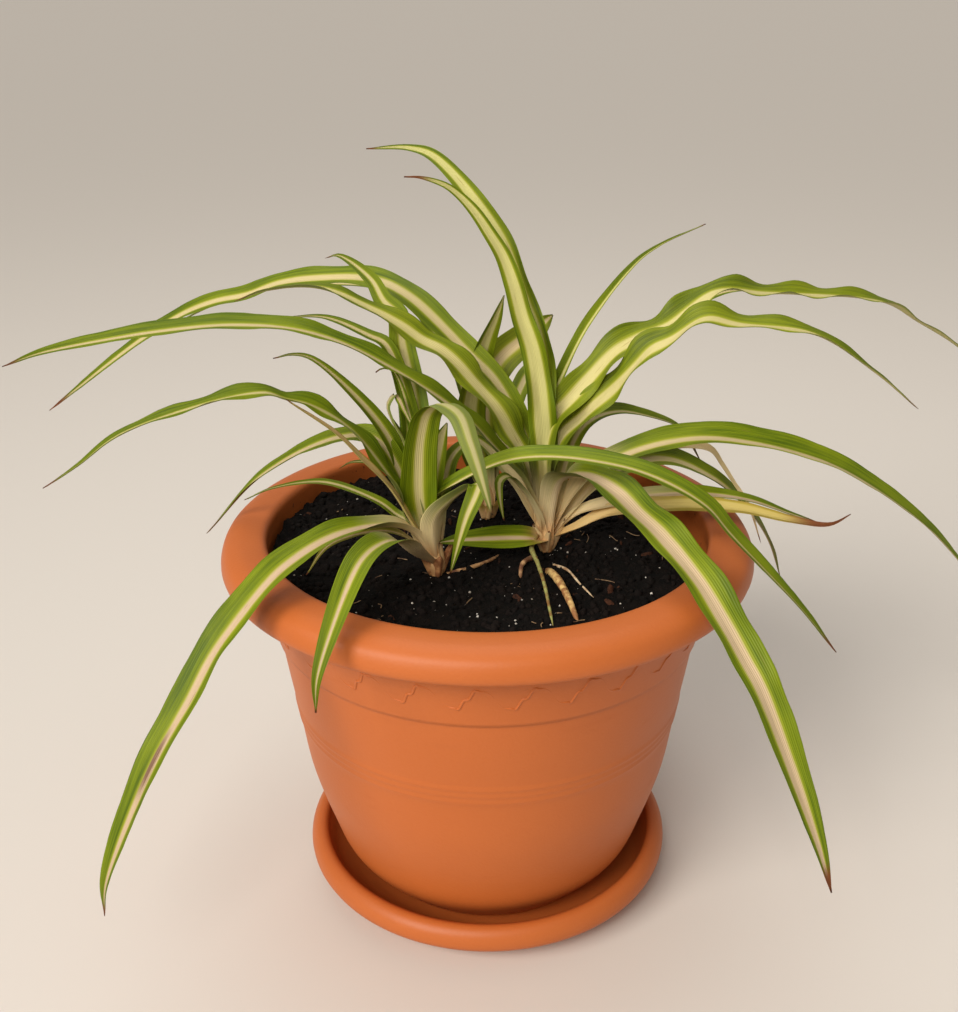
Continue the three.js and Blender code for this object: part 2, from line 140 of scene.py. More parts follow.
# What a leaf has unless its entry says otherwise. foot: share of the width at the foot. fold:
# how far each half is raised, in degrees. wave: rise and fall of the edges. blunt: how late the
# blade narrows. stripe: share of the width that is cream. offset: how far the stripe lies to
# one side. warmth: from pinkish white at 0 to yellow cream at 1. tip: share of the length that
# is brown. age: how far the green has turned yellow. scar: place along the leaf of a brown
# streak, with 0 for none.
COMMON_LEAF = dict(foot=0.6, fold=20, wave=0.25, blunt=2.2,
                   stripe=0.34, offset=0.0, warmth=0.45, tip=0.02, age=0.0, scar=0.0)

# What a blade tells its skin
LEAF_TRAITS = ("stripe", "offset", "warmth", "tip", "age", "base", "scar", "leaf_length", "seed")


def leaf(name, crown, width, roll, rib, **more):
    """A leaf's entry: the crown that it grows from, its widest width, its turn about the rib
    at the foot, middle and tip in degrees, and points that the midrib runs through."""
    base, foot = CROWNS[crown]["base"], CROWNS[crown]["foot"]
    own = dict(name=name, crown=crown, width=width, roll=roll, rib=rib, **more)
    return {**COMMON_LEAF, "base": base, "start": (*foot, SOIL_LEVEL + 6), **own}


LEAVES = [
    leaf("front_right", "right", 21, (0, 8, 8), foot=0.8, wave=1.1, blunt=4.8, stripe=0.41, offset=0.12,
         warmth=0.12, tip=0.035, base=44,
         rib=[(35, -1, 226), (46, -17, 236), (60, -36, 235), (69, -50, 230), (79, -64, 225), (94, -85, 212),
         (111, -109, 187), (116, -117, 179), (137, -147, 125), (143, -156, 104)]),
    leaf("front_left", "left", 18.5, (0, -6, -6), foot=0.35, wave=0.6, blunt=5.6, stripe=0.32, offset=-0.2,
         warmth=0.05, base=50, scar=0.74,
         rib=[(-35, -31, 212), (-47, -42, 221), (-68, -62, 225), (-91, -83, 218), (-116, -106, 193),
         (-128, -118, 173), (-141, -130, 152), (-161, -149, 104), (-163, -151, 87)]),
    leaf("crossing_right", "left", 13, (15, 17, 10), blunt=5, stripe=0.2, offset=0.2, warmth=0.4, tip=0.035,
         rib=[(-28, -21, 222), (-21, -23, 230), (14, -32, 250), (65, -44, 250), (98, -53, 236),
         (111, -56, 222), (143, -64, 189), (161, -68, 167)]),
    leaf("low_right", "right", 17, (30, 22, 14), blunt=4.2, wave=0.3, stripe=0.3, offset=0.6, warmth=0.3,
         base=56,
         rib=[(44, 7, 218), (56, 7, 230), (104, 10, 245), (166, 13, 233), (219, 16, 200), (246, 17, 174),
         (265, 18, 150)]),
    leaf("high_right", "right", 18, (55, 14, 0), foot=0.8, blunt=3.2, wave=2.6, stripe=0.42, offset=0.35,
         warmth=0.7, tip=0.01, age=0.03,
         rib=[(29, 6, 251), (41, 9, 265), (62, 16, 287), (74, 19, 294), (87, 23, 298), (110, 30, 313),
         (140, 40, 310), (204, 59, 300), (225, 66, 288), (251, 74, 272), (281, 83, 247)]),
    leaf("mid_right", "right", 17, (55, 26, 0), foot=0.8, blunt=3.2, wave=2.6, stripe=0.4, offset=0.35,
         warmth=0.65, tip=0.03, age=0.03,
         rib=[(34, 6, 244), (46, 5, 257), (68, 3, 282), (77, 3, 293), (86, 2, 298), (102, 1, 308),
         (119, 0, 305), (152, -3, 301), (183, -5, 282), (205, -6, 264)]),
    leaf("tall", "right", 16, (-85, -84, -35), blunt=2.8, wave=2.2, stripe=0.5, warmth=0.9,
         rib=[(28, 9, 250), (24, 14, 293), (17, 17, 310), (6, 23, 339), (-24, 36, 374), (-37, 41, 378),
         (-58, 46, 377)]),
    leaf("long_left", "right", 15, (-20, -14, -25), foot=0.8, blunt=5.5, wave=0.8, stripe=0.27,
         offset=-0.15, warmth=0.35,
         rib=[(20, 4, 223), (9, 1, 237), (-14, -6, 264), (-72, -20, 304), (-114, -28, 312),
         (-191, -44, 304), (-210, -48, 298)]),
    leaf("twisted_left", "right", 17, (-50, -40, 20), foot=0.8, blunt=3.2, wave=3.0, stripe=0.4, warmth=0.7,
         tip=0.03, age=0.03,
         rib=[(21, 6, 230), (0, 4, 267), (-21, 3, 290), (-31, 3, 296), (-41, 3, 303), (-77, 1, 321),
         (-103, -1, 320), (-117, -2, 315)]),
    leaf("arched_left", "right", 15, (-40, -30, -45), foot=0.8, blunt=4.5, wave=0.6, tip=0.04,
         rib=[(21, 14, 237), (5, 22, 268), (-10, 29, 282), (-38, 42, 306), (-58, 52, 313), (-108, 71, 307),
         (-127, 77, 299), (-146, 83, 294), (-166, 90, 285), (-197, 98, 265), (-255, 114, 221)]),
    leaf("tall_twin", "right", 16.5, (-78, -80, -55), blunt=1.7, wave=2.2, stripe=0.58, warmth=0.85,
         tip=0.05,
         rib=[(27, 5, 251), (22, 6, 288), (16, 7, 306), (12, 7, 321), (7, 8, 334), (1, 8, 344),
         (-6, 9, 354), (-14, 10, 362), (-20, 10, 366), (-31, 11, 369), (-38, 12, 369)]),
    leaf("wavy_left", "left", 12, (-25, -14, -8), blunt=3.4, wave=2, stripe=0.26, offset=-0.2, warmth=0.6,
         tip=0.03,
         rib=[(-39, -25, 220), (-41, -25, 229), (-63, -30, 264), (-79, -33, 276), (-90, -36, 280),
         (-100, -38, 284), (-161, -51, 269), (-181, -55, 255), (-197, -58, 245)]),
    leaf("front_short", "left", 17, (0, -6, -10), foot=0.3, blunt=2.6, stripe=0.2, warmth=0.1, tip=0.01,
         base=56,
         rib=[(-35, -46, 209), (-40, -58, 220), (-44, -70, 226), (-51, -86, 228), (-56, -100, 225),
         (-69, -131, 193), (-70, -134, 178)]),
    leaf("kinked", "left", 19, (120, 165, 215), foot=0.75, blunt=2.3, fold=12, stripe=0.3, warmth=0.6,
         base=26,
         rib=[(-32, -25, 218), (-32, -28, 243), (-30, -30, 261), (-27, -32, 271), (-21, -35, 276),
         (-13, -39, 273), (-8, -47, 263), (-3, -53, 249), (2, -58, 232)]),
    leaf("upright_left", "left", 19, (-50, -50, -30), stripe=0.3, warmth=0.6,
         rib=[(-33, -8, 244), (-36, 3, 267), (-41, 12, 291), (-43, 16, 304), (-50, 20, 310), (-56, 25, 319),
         (-72, 32, 329), (-79, 35, 327)]),
    leaf("hooked_left", "left", 13, (-40, -30, -10),
         rib=[(-36, -10, 239), (-38, -4, 263), (-48, 3, 293), (-56, 5, 297), (-76, 7, 305), (-97, 8, 305)]),
    leaf("thin_right", "right", 6.5, (50, 30, 0), stripe=0.24, offset=0.6, warmth=0.9,
         rib=[(31, 12, 262), (36, 15, 276), (48, 23, 298), (71, 41, 322), (84, 52, 329), (112, 75, 336)]),
    leaf("bent_right", "right", 19, (20, 15, 10), blunt=3.6, stripe=0.3, warmth=0.4, base=50,
         rib=[(57, 12, 222), (77, 12, 231), (93, 16, 230), (111, 20, 221), (127, 26, 208), (144, 31, 188),
         (152, 33, 174), (159, 34, 154)]),
    leaf("yellow_right", "right", 14, (15, 15, 5), foot=0.35, blunt=3.2, stripe=0.55, offset=-0.2,
         warmth=1.0, age=0.45, tip=0.18, base=60,
         rib=[(44, 2, 198), (63, -1, 209), (91, -6, 214), (122, -12, 215), (148, -15, 210), (167, -16, 208),
         (176, -17, 214)]),
    leaf("pale_right", "right", 12, (15, 15, 5), foot=0.35, blunt=3.2, stripe=0.5, offset=0.3, warmth=0.1,
         tip=0.06, base=70,
         rib=[(46, 4, 206), (62, 4, 211), (84, 8, 214), (107, 10, 214), (132, 11, 210), (155, 10, 202),
         (171, 8, 197)]),
    leaf("low_back_right", "right", 13, (30, 20, 10), stripe=0.3, offset=0.3, warmth=0.4,
         rib=[(44, 15, 244), (52, 17, 252), (65, 22, 254), (82, 28, 249), (100, 36, 239), (109, 44, 224),
         (115, 50, 213)]),
    leaf("dry_right", "right", 8, (30, 20, 20), foot=0.5, blunt=5, stripe=1.0, warmth=0.2, age=0.25,
         tip=0.03, base=400,
         rib=[(48, 15, 224), (72, 24, 231), (114, 33, 229), (122, 31, 220), (129, 28, 210), (135, 24, 202),
         (138, 20, 195), (142, 15, 183)]),
    leaf("low_left", "left", 14, (-25, -20, -10), blunt=3.2, wave=0.5, stripe=0.3, warmth=0.3, tip=0.06,
         rib=[(-51, -15, 251), (-69, -10, 252), (-111, 1, 228), (-144, 10, 191)]),
    leaf("small_left", "left", 7, (-15, -15, -10), warmth=0.5,
         rib=[(-39, -20, 212), (-44, -19, 215), (-52, -18, 221), (-78, -15, 230), (-105, -11, 225),
         (-119, -9, 218)]),
    leaf("pale_left", "left", 8, (-20, -20, -20), blunt=3, stripe=0.85, warmth=0.3, age=0.45,
         rib=[(-46, -33, 236), (-57, -38, 251), (-67, -43, 265), (-87, -54, 285)]),
    leaf("stub_left", "left", 8, (-10, -10, -10),
         rib=[(-48, -11, 235), (-54, -8, 237), (-67, -2, 235), (-73, 0, 231)]),
    leaf("slender_left", "left", 13, (-40, -30, -10),
         rib=[(-38, -15, 219), (-44, -13, 246), (-55, -13, 265), (-81, -13, 291), (-90, -13, 293),
         (-99, -13, 291)]),
    leaf("nodding_left", "left", 11, (-40, -40, -20), stripe=0.5, warmth=0.3,
         rib=[(-36, -20, 239), (-39, -22, 254), (-44, -22, 264), (-46, -22, 272), (-42, -24, 277),
         (-38, -26, 270), (-33, -30, 261)]),
    leaf("curled_tip", "left", 7, (-50, -50, -60),
         rib=[(-33, -21, 239), (-35, -19, 258), (-44, -12, 285), (-49, -12, 286), (-52, -12, 284)]),
    leaf("slip_left", "left", 14, (60, 60, 60), blunt=5, stripe=0.6, warmth=0.6, tip=0.0,
         rib=[(-29, -20, 218), (-28, -20, 230), (-25, -19, 244), (-22, -18, 254), (-19, -17, 261)]),
    leaf("tiny_left", "left", 8, (-10, -10, -10), stripe=0.3, warmth=0.2, age=0.2,
         rib=[(-42, -32, 211), (-55, -41, 216), (-73, -52, 214), (-83, -58, 202)]),
    leaf("hanging_front", "left", 14, (10, 20, 20), stripe=0.3, warmth=0.6, base=44,
         rib=[(-25, -34, 220), (-11, -42, 238), (-4, -47, 243), (-5, -51, 240), (-10, -56, 229),
         (-17, -61, 204)]),
    leaf("flat_front", "right", 14, (-20, -45, -30), blunt=3.4, stripe=0.22, warmth=0.1, base=12,
         rib=[(24, -3, 195), (14, -7, 197), (-3, -15, 200), (-15, -21, 202), (-24, -26, 203)]),
    leaf("upright_back", "back", 19, (180, 180, 180), blunt=3.4, stripe=0.5, warmth=0.8, tip=0.0,
         rib=[(-3, 42, 212), (-8, 40, 232), (-9, 38, 249), (-5, 35, 270), (-1, 33, 285), (4, 31, 298),
         (8, 30, 310)]),
    leaf("folded_back", "back", 20, (60, 60, 60), blunt=9, warmth=0.3, age=0.05, tip=0.0,
         rib=[(-1, 47, 214), (-2, 50, 245), (0, 51, 260), (7, 54, 271), (16, 58, 278), (25, 62, 284),
         (34, 65, 291)]),
    leaf("back_left", "back", 12, (-20, -15, -10), wave=0.5,
         rib=[(-7, 58, 224), (-18, 70, 264), (-50, 95, 295), (-117, 122, 292), (-159, 135, 278),
         (-194, 145, 259)]),
    leaf("back_right", "back", 12, (20, 20, 10),
         rib=[(9, 58, 218), (48, 82, 244), (70, 95, 261), (114, 116, 281), (135, 127, 288),
         (200, 150, 281)]),
    leaf("back", "back", 13, (0, 0, 0), wave=0.6,
         rib=[(4, 62, 214), (13, 78, 234), (21, 98, 246), (27, 120, 247), (30, 143, 238), (34, 163, 220),
         (37, 180, 193)]),
]

# Short leaves inside the tuft, too small for solids of their own.
INNER_LEAVES = [
    leaf("inner_long", "right", 11, (-50, -40, -20), blunt=4, stripe=0.5, warmth=0.5, base=50,
         rib=[(23, 7, 208), (17, 9, 219), (9, 11, 228), (1, 13, 236), (-7, 15, 242), (-14, 17, 245)]),
    leaf("inner_drooping", "right", 9, (-20, -10, 0), blunt=3, stripe=0.4, warmth=0.5, base=40,
         rib=[(23, 0, 211), (16, -3, 223), (10, -7, 230), (6, -11, 229), (6, -14, 222), (8, -16, 210)]),
    leaf("inner_pale", "right", 10, (-60, -60, -40), blunt=3, stripe=0.6, warmth=0.6, base=60,
         rib=[(25, 9, 210), (20, 12, 222), (14, 15, 232), (8, 18, 239), (1, 21, 243)]),
    leaf("inner_dark", "left", 11, (40, 30, 20), blunt=3, stripe=0.3, warmth=0.5,
         rib=[(-25, -8, 215), (-21, -2, 227), (-18, 4, 235), (-13, 10, 239), (-8, 16, 239), (-3, 22, 233)]),
]

# Side of a crown's stem: share of its radius, and height above the soil
STEM_SIDE = ((0.66, 0), (0.98, 5), (0.86, 11), (0.5, 18), (0.2, 24))
STEM_DEPTH = 8

# Short leaf bases round a crown, lower on the back one. Their steps say how far out and up a
# base has come at three points, as shares of its height, and their drift is a share of the
# turn from one to the next.
SHEATH_COUNT = 5
SHEATH_STEPS = ((0.16, 0.25), (0.3, 0.6), (0.46, 1.0))
SHEATH_DRIFT = 0.3
SHEATH_START = 2
SHEATH_HEIGHTS = (12, 19)
SHEATH_WIDTHS = (7, 10)
SHEATH_OFFSET = 1.6
SHEATH_SEED_STEP = 5.1
GREEN_HEIGHT_SHARE = 0.6
SHEATH = dict(fold=46, foot=0.7, blunt=3.6, stripe=0.75, warmth=0.35, base=90, tip=0.06, age=0.1)
GREEN_SHEATH = dict(SHEATH, stripe=0.3, base=8)

# Roots at the soil's surface and a withered leaf. radius: at the start. knobs: how far it swells
# and shrinks along its length. colours: the two of its blotches.
ROOTS = [
    dict(name="root_right", skin="tuber_skin", colours=((220, 184, 118), (146, 98, 56)), radius=2.5,
         knobs=0.4, points=[(29.5, -12, 179), (30.5, -20, 184), (33, -30, 186.6), (36.1, -42, 186.4),
                            (38.7, -55, 185.4), (41.5, -68, 182)]),
    dict(name="root_stub", skin="stub_skin", colours=((196, 154, 108), (112, 72, 46)), radius=1.7,
         knobs=0.8, points=[(26, -2, 182), (21, -9, 186), (17, -16, 186), (16, -24, 182)]),
    dict(name="root_thin", skin="pale_root_skin", colours=((214, 192, 158), (150, 112, 76)), radius=0.8,
         knobs=0.7, points=[(33, -12, 184), (39, -22, 186.4), (44, -36, 186.4), (50, -47, 184.4)]),
    dict(name="root_left", skin="thin_root_skin", colours=((196, 150, 100), (110, 68, 40)), radius=1.2,
         knobs=0.9, points=[(-20, -22, 184), (-10, -18, 185), (2, -8, 185), (9, 6, 183)]),
    dict(name="withered_leaf", skin="withered_skin", colours=((150, 150, 84), (128, 92, 44)), radius=1.3,
         knobs=0.7, points=[(25, 1, 194), (22, -7, 191.5), (24.5, -22, 190), (27, -42, 188.5),
                            (28.5, -60, 186), (29.5, -74, 184.6)]),
]

# Lamps, with lengths in metres. size: width of the lamp, or the angle of a sun in radians.
LAMPS = [
    dict(name="key", kind="SUN", place=(-0.9, -0.92, 1.05), size=0.5, power=2.3, colour=(1.0, 0.95, 0.87)),
    dict(name="front", kind="AREA", place=(-0.2, -0.9, 0.85), size=0.35, power=4.4,
         colour=(1.0, 0.95, 0.88)),
    dict(name="top", kind="AREA", place=(-0.1, 0.35, 1.5), size=1.2, power=7, colour=(1.0, 0.98, 0.94)),
]
LAMP_AIM = (0, 0, 0.2)

# Floor, in metres, and the light all round
FLOOR_REACH = 60
FLOOR_COLOUR = (220, 214, 207)
AIR_COLOUR = (0.90, 0.84, 0.77, 1)
AIR_STRENGTH = 0.35

# Camera. Its place, in metres, is where the photograph was taken from, and its drop is how far
# it looks down, in degrees. The reach and shift of its lens are pixels of the photograph, as
# the photograph's height is.
FILM_HEIGHT = 36
PHOTO_HEIGHT = 1012
LENS_REACH = 1200
LENS_SHIFT = -8.6
CAMERA_PLACE = (0, -0.5469, 0.4534)
CAMERA_DROP = 23.92


def sum_of(operation, is_flipped=False):
    """A method that puts a wire and another value together in a Math node."""
    def method(wire, other):
        pair = (other, wire) if is_flipped else (wire, other)
        return wire.plan.maths(operation, *pair)
    return method


class Wire:
    """What comes out of a node's socket, so that a sum is written as it is read."""

    def __init__(self, plan, socket):
        self.plan = plan
        self.socket = socket

    __add__ = sum_of("ADD")
    __radd__ = sum_of("ADD", True)
    __sub__ = sum_of("SUBTRACT")
    __rsub__ = sum_of("SUBTRACT", True)
    __mul__ = sum_of("MULTIPLY")
    __truediv__ = sum_of("DIVIDE")
    __pow__ = sum_of("POWER")


def linear(part):
    """One part of a screen colour, from 0 to 255, as the linear value that a shader takes."""
    return part / 255 / 12.92 if part < 11 else ((part / 255 + 0.055) / 1.055) ** 2.4


class Plan:
    """A node tree being drawn. Nodes come from make(), and sums from the wires themselves."""

    def __init__(self, tree):
        self.tree = tree

    def make(self, kind, sockets=None, output=None, **settings):
        """Adds a node with its settings and the values or links of its sockets."""
        node = self.tree.nodes.new(kind)
        for name, value in settings.items():
            setattr(node, name, value)
        for name, value in (sockets or {}).items():
            for one in value if isinstance(value, list) else [value]:
                self.feed(self.find(node.inputs, name), one)
        return Wire(self, self.find(node.outputs, output))

    def find(self, sockets, name):
        if isinstance(name, int):
            return sockets[name]
        return next(s for s in sockets if s.enabled and name in (None, s.name))

    def feed(self, socket, value):
        if isinstance(value, Wire):
            self.tree.links.new(value.socket, socket)
        elif socket.type == "VECTOR" and not hasattr(value, "__len__"):
            socket.default_value = (value, value, value)
        elif socket.type == "RGBA":
            socket.default_value = (*map(linear, value), 1)
        else:
            socket.default_value = value

    def maths(self, operation, *values):
        is_vector = any(isinstance(v, Wire) and v.socket.type == "VECTOR" for v in values)
        kind = "ShaderNodeVectorMath" if is_vector else "ShaderNodeMath"
        return self.make(kind, dict(enumerate(values)), operation=operation)

    def dot(self, one, other):
        return self.make("ShaderNodeVectorMath", {0: one, 1: other}, "Value", operation="DOT_PRODUCT")

    def smooth(self, value, low, high):
        sockets = {"Value": value, "From Min": low, "From Max": high}
        return self.make("ShaderNodeMapRange", sockets, interpolation_type="SMOOTHSTEP", clamp=True)

    def mix(self, share, one, other):
        is_colour = any(hasattr(v, "__len__") or (isinstance(v, Wire) and v.socket.type == "RGBA")
                        for v in (one, other))
        return self.make("ShaderNodeMix", {"Factor": share, "A": one, "B": other},
                         data_type="RGBA" if is_colour else "FLOAT")

    def noise(self, place, scale, detail=2.0, roughness=0.5):
        sockets = {"Vector": place, "Scale": scale, "Detail": detail, "Roughness": roughness}
        return self.make("ShaderNodeTexNoise", sockets, 0)

    def split(self, vector):
        node = self.make("ShaderNodeSeparateXYZ", {0: vector}).socket.node
        return [Wire(self, socket) for socket in node.outputs]

    def join(self, x, y, z):
        return self.make("ShaderNodeCombineXYZ", {0: x, 1: y, 2: z})


def sine(angle):
    return angle.plan.maths("SINE", angle)


def cosine(angle):
    return angle.plan.maths("COSINE", angle)


def material_plan(name):
    material = bpy.data.materials.new(name)
    material.use_nodes = True
    plan = Plan(material.node_tree)
    plan.material = material
    plan.shader = material.node_tree.nodes["Principled BSDF"]
    plan.place = plan.make("ShaderNodeTexCoord", output="Object")
    return plan


def surface(plan, **sockets):
    """Sets the shader's sockets: spaces in a socket's name are written as underscores."""
    for name, value in sockets.items():
        plan.feed(plan.shader.inputs[name.replace("_", " ")], value)
    return plan.material


def bump(plan, height, distance, strength=1.0):
    return plan.make("ShaderNodeBump", {"Height": height, "Distance": distance, "Strength": strength})


def trait(plan, name, output="Fac"):
    return plan.make("ShaderNodeAttribute", output=output, attribute_type="GEOMETRY", attribute_name=name)


def pot_plastic():
    plan = material_plan("terracotta_plastic")
    cloud = plan.noise(plan.place, 11, 3)
    grain = plan.noise(plan.place, 700, 2)
    colour = plan.mix(cloud, (184, 97, 42), (194, 106, 50))
    colour = plan.mix(grain * 0.3, colour, (178, 88, 38))
    x, y, z = plan.split(plan.place)
    spots = plan.smooth(plan.noise(plan.place, 420, 2), 0.66, 0.74)
    inside = 1 - plan.smooth(x * x + y * y, 0.0128, 0.0152)
    near_soil = plan.smooth(z, 0.17, 0.186) * (1 - plan.smooth(z, 0.196, 0.204)) * inside
    colour = plan.mix(spots * near_soil * 0.8, colour, (60, 34, 20))
    smear = plan.smooth(plan.noise(plan.place * (1, 1, 3), 26, 4, 0.65), 0.56, 0.8)
    colour = plan.mix(smear * 0.16, colour, (168, 92, 54))
    roughness = 0.40 + cloud * 0.12 + smear * 0.1
    return surface(plan, Base_Color=colour, Roughness=roughness, Specular_IOR_Level=0.34,
                   Normal=bump(plan, grain + cloud * 2, 0.00008))


def soil_earth():
    plan = material_plan("potting_soil")
    clod = plan.noise(plan.place, 160, 5, 0.7)
    fibre = plan.noise(plan.place * (1, 1.6, 1), 620, 3)
    colour = plan.mix(plan.smooth(clod, 0.35, 0.7), (6, 5, 4), (20, 14, 11))
    colour = plan.mix(plan.smooth(fibre, 0.62, 0.78) * 0.6, colour, (52, 36, 26))
    return surface(plan, Base_Color=colour, Roughness=0.85 + fibre * 0.12, Specular_IOR_Level=0.12,
                   Normal=bump(plan, clod + fibre * 0.5, 0.0012))


def soil_lump(name, one, other):
    """The finish of one kind of lump on the soil: two colours in a fine mottle."""
    plan = material_plan(name)
    mottle = plan.noise(plan.place, 900, 3, 0.6)
    drift = plan.noise(plan.place, 60, 1)
    colour = plan.mix(plan.smooth(mottle * 0.5 + drift * 0.5, 0.35, 0.65), one, other)
    return surface(plan, Base_Color=colour, Roughness=0.8 + mottle * 0.18, Specular_IOR_Level=0.15,
                   Normal=bump(plan, mottle, 0.0004))


def stem_skin():
    """Cream stem bases with brown scars low down and a green flush higher up."""
    plan = material_plan("crown_stem")
    height = plan.split(plan.place)[2]
    streak = plan.noise(plan.place * (1, 1, 0.12), 420, 3)
    rings = plan.noise(plan.place * (0.2, 0.2, 1), 500, 2)
    colour = plan.mix(streak, (240, 210, 156), (222, 178, 114))
    low = 1 - plan.smooth(height, 0.184, 0.198)
    colour = plan.mix(low * (0.35 + rings * 0.6), colour, (170, 100, 50))
    colour = plan.mix(plan.smooth(height, 0.206, 0.232) * 0.5, colour, (176, 186, 104))
    return surface(plan, Base_Color=colour, Roughness=0.45 + rings * 0.2,
                   Normal=bump(plan, streak + rings, 0.0003))


def root_skin(name, pale, dark):
    plan = material_plan(name)
    blotch = plan.noise(plan.place, 240, 3)
    colour = plan.mix(plan.smooth(blotch, 0.35, 0.65), pale, dark)
    return surface(plan, Base_Color=colour, Roughness=0.6 + blotch * 0.2, Normal=bump(plan, blotch, 0.0006))


def leaf_skin(name, is_under):
    """Striped leaf: green margins, a cream middle with fine lines, pale base and brown tip."""
    plan = material_plan(name)
    across, along, _ = plan.split(trait(plan, "leaf_map", "Vector"))
    seed = trait(plan, "seed")
    stripe = trait(plan, "stripe")
    millimetres = along * trait(plan, "leaf_length")
    shifted = across - trait(plan, "offset") * plan.smooth(along, 0.2, 0.5)
    edge = plan.maths("ABSOLUTE", shifted)
    streaks = plan.noise(plan.join(across * 7, millimetres * 0.022, seed), 1, 3, 0.6)
    drift = plan.noise(plan.join(across * 0.7, millimetres * 0.03, seed + 5), 1, 2)
    veins = sine(edge * 58 + streaks * 5) * 0.5 + 0.5
    place = edge + (drift - 0.5) * 0.16 + (streaks - 0.5) * 0.06
    cream = 1 - plan.smooth(place - stripe, -0.07, 0.05)
    fringe = plan.smooth(place - stripe, -0.16, 0.0) * (1 - plan.smooth(place - stripe, 0.0, 0.2))
    green = plan.mix(plan.smooth(streaks, 0.3, 0.7), (74, 94, 4), (112, 128, 8))
    green = plan.mix(plan.smooth(drift, 0.35, 0.75) * 0.45, green, (140, 152, 20))
    green = plan.mix(veins * 0.17, green, (58, 80, 4))
    white = plan.mix(trait(plan, "warmth"), (200, 172, 144), (204, 202, 124))
    white = plan.mix(plan.smooth(streaks, 0.52, 0.72) * 0.3, white, (178, 174, 96))
    white = plan.mix(veins * 0.07, white, (170, 160, 128))
    colour = plan.mix(cream, green, white)
    colour = plan.mix(fringe * 0.6, colour, (160, 164, 40))
    fleck = plan.smooth(plan.noise(plan.join(across * 8, millimetres * 0.05, seed + 9), 1, 2), 0.68, 0.76)
    colour = plan.mix(fleck * (0.2 + cream * 0.4), colour, (132, 96, 58))
    scar = trait(plan, "scar")
    near = 1 - plan.smooth(plan.maths("ABSOLUTE", along - scar), 0.02, 0.075)
    mark = near * plan.smooth(scar, 0, 0.1) * plan.smooth(streaks, 0.42, 0.52) * cream
    colour = plan.mix(mark * 0.9, colour, (112, 78, 64))
    base = 1 - plan.smooth(millimetres, trait(plan, "base") * 0.45, trait(plan, "base") * 1.25)
    colour = plan.mix(base * (0.62 + streaks * 0.5), colour, (244, 222, 172))
    foot = 1 - plan.smooth(millimetres, 2, 22)
    colour = plan.mix(foot * (0.25 + streaks * 0.6), colour, (214, 148, 86))
    yellow = plan.mix(streaks, (224, 182, 96), (204, 156, 70))
    colour = plan.mix(trait(plan, "age") * (0.7 + drift * 0.6), colour, yellow)
    tip = trait(plan, "tip")
    browning = plan.smooth(along + (streaks - 0.5) * 0.05, 1 - tip * 1.4, 1 - tip * 0.6)
    brown = plan.mix(streaks, (78, 40, 22), (158, 92, 50))
    colour = plan.mix(browning, colour, brown)
    if is_under:
        colour = plan.mix((1 - base) * 0.34, colour, (152, 156, 104))
    ribs = cosine(edge * 58 + streaks * 5) + streaks
    return surface(plan, Base_Color=colour, Roughness=0.4 + streaks * 0.16 + (0.12 if is_under else 0),
                   Specular_IOR_Level=0.2, Normal=bump(plan, ribs, 0.00005))


def python_name(socket):
    """A socket's name as a plain name in small letters."""
    return socket.name.lower().replace(" ", "_")


def geometry_plan(title, sizes, **others):
    """A Geometry Nodes tree with named inputs: sizes, and others with the kind of each."""
    tree = bpy.data.node_groups.new(title, "GeometryNodeTree")
    for way in ("INPUT", "OUTPUT"):
        tree.interface.new_socket("Geometry", in_out=way, socket_type="NodeSocketGeometry")
    for name, kind in {**dict.fromkeys(sizes, "Float"), **others}.items():
        tree.interface.new_socket(name, in_out="INPUT", socket_type=f"NodeSocket{kind}")
    plan = Plan(tree)
    source = tree.nodes.new("NodeGroupInput")
    wires = {python_name(socket): Wire(plan, socket) for socket in source.outputs if socket.name}
    plan.given = SimpleNamespace(**wires)
    plan.place = plan.make("GeometryNodeInputPosition")
    return plan


def deliver(plan, geometry, *materials):
    """Ends a tree: real mesh, smooth faces, and its material or materials with what they cover."""
    geometry = plan.make("GeometryNodeRealizeInstances", {"Geometry": geometry})
    geometry = plan.make("GeometryNodeSetShadeSmooth", {"Geometry": geometry})
    for material, selection in materials or [(plan.given.material, True)]:
        sockets = {"Geometry": geometry, "Selection": selection, "Material": material}
        geometry = plan.make("GeometryNodeSetMaterial", sockets)
    sink = plan.tree.nodes.new("NodeGroupOutput")
    plan.feed(sink.inputs[0], geometry)
    return plan.tree


def moved(plan, geometry, **sockets):
    return plan.make("GeometryNodeSetPosition", {"Geometry": geometry, **sockets})


def stored(plan, geometry, name, value, kind="FLOAT", domain="POINT"):
    sockets = {"Geometry": geometry, "Name": name, "Value": value}
    return plan.make("GeometryNodeStoreNamedAttribute", sockets, data_type=kind, domain=domain)


def recalled(plan, name, kind="FLOAT"):
    return plan.make("GeometryNodeInputNamedAttribute", {"Name": name}, data_type=kind)


def random_value(plan, low, high, seed, kind="FLOAT"):
    return plan.make("FunctionNodeRandomValue", {"Min": low, "Max": high, "Seed": seed}, data_type=kind)


def grow(name, tree, mesh, **values):
    """Runs a tree on a mesh and keeps the result as a plain mesh object."""
    holder = bpy.data.objects.new(name, mesh)
    bpy.context.scene.collection.objects.link(holder)
    modifier = holder.modifiers.new("grow", "NODES")
    modifier.node_group = tree
    for item in tree.interface.items_tree:
        if item.in_out == "INPUT" and python_name(item) in values:
            modifier[item.identifier] = values[python_name(item)]
    graph = bpy.context.evaluated_depsgraph_get()
    result = bpy.data.meshes.new_from_object(holder.evaluated_get(graph), preserve_all_data_layers=True,
                                             depsgraph=graph)
    holder.modifiers.clear()
    holder.data = result
    result.name = name
    return holder


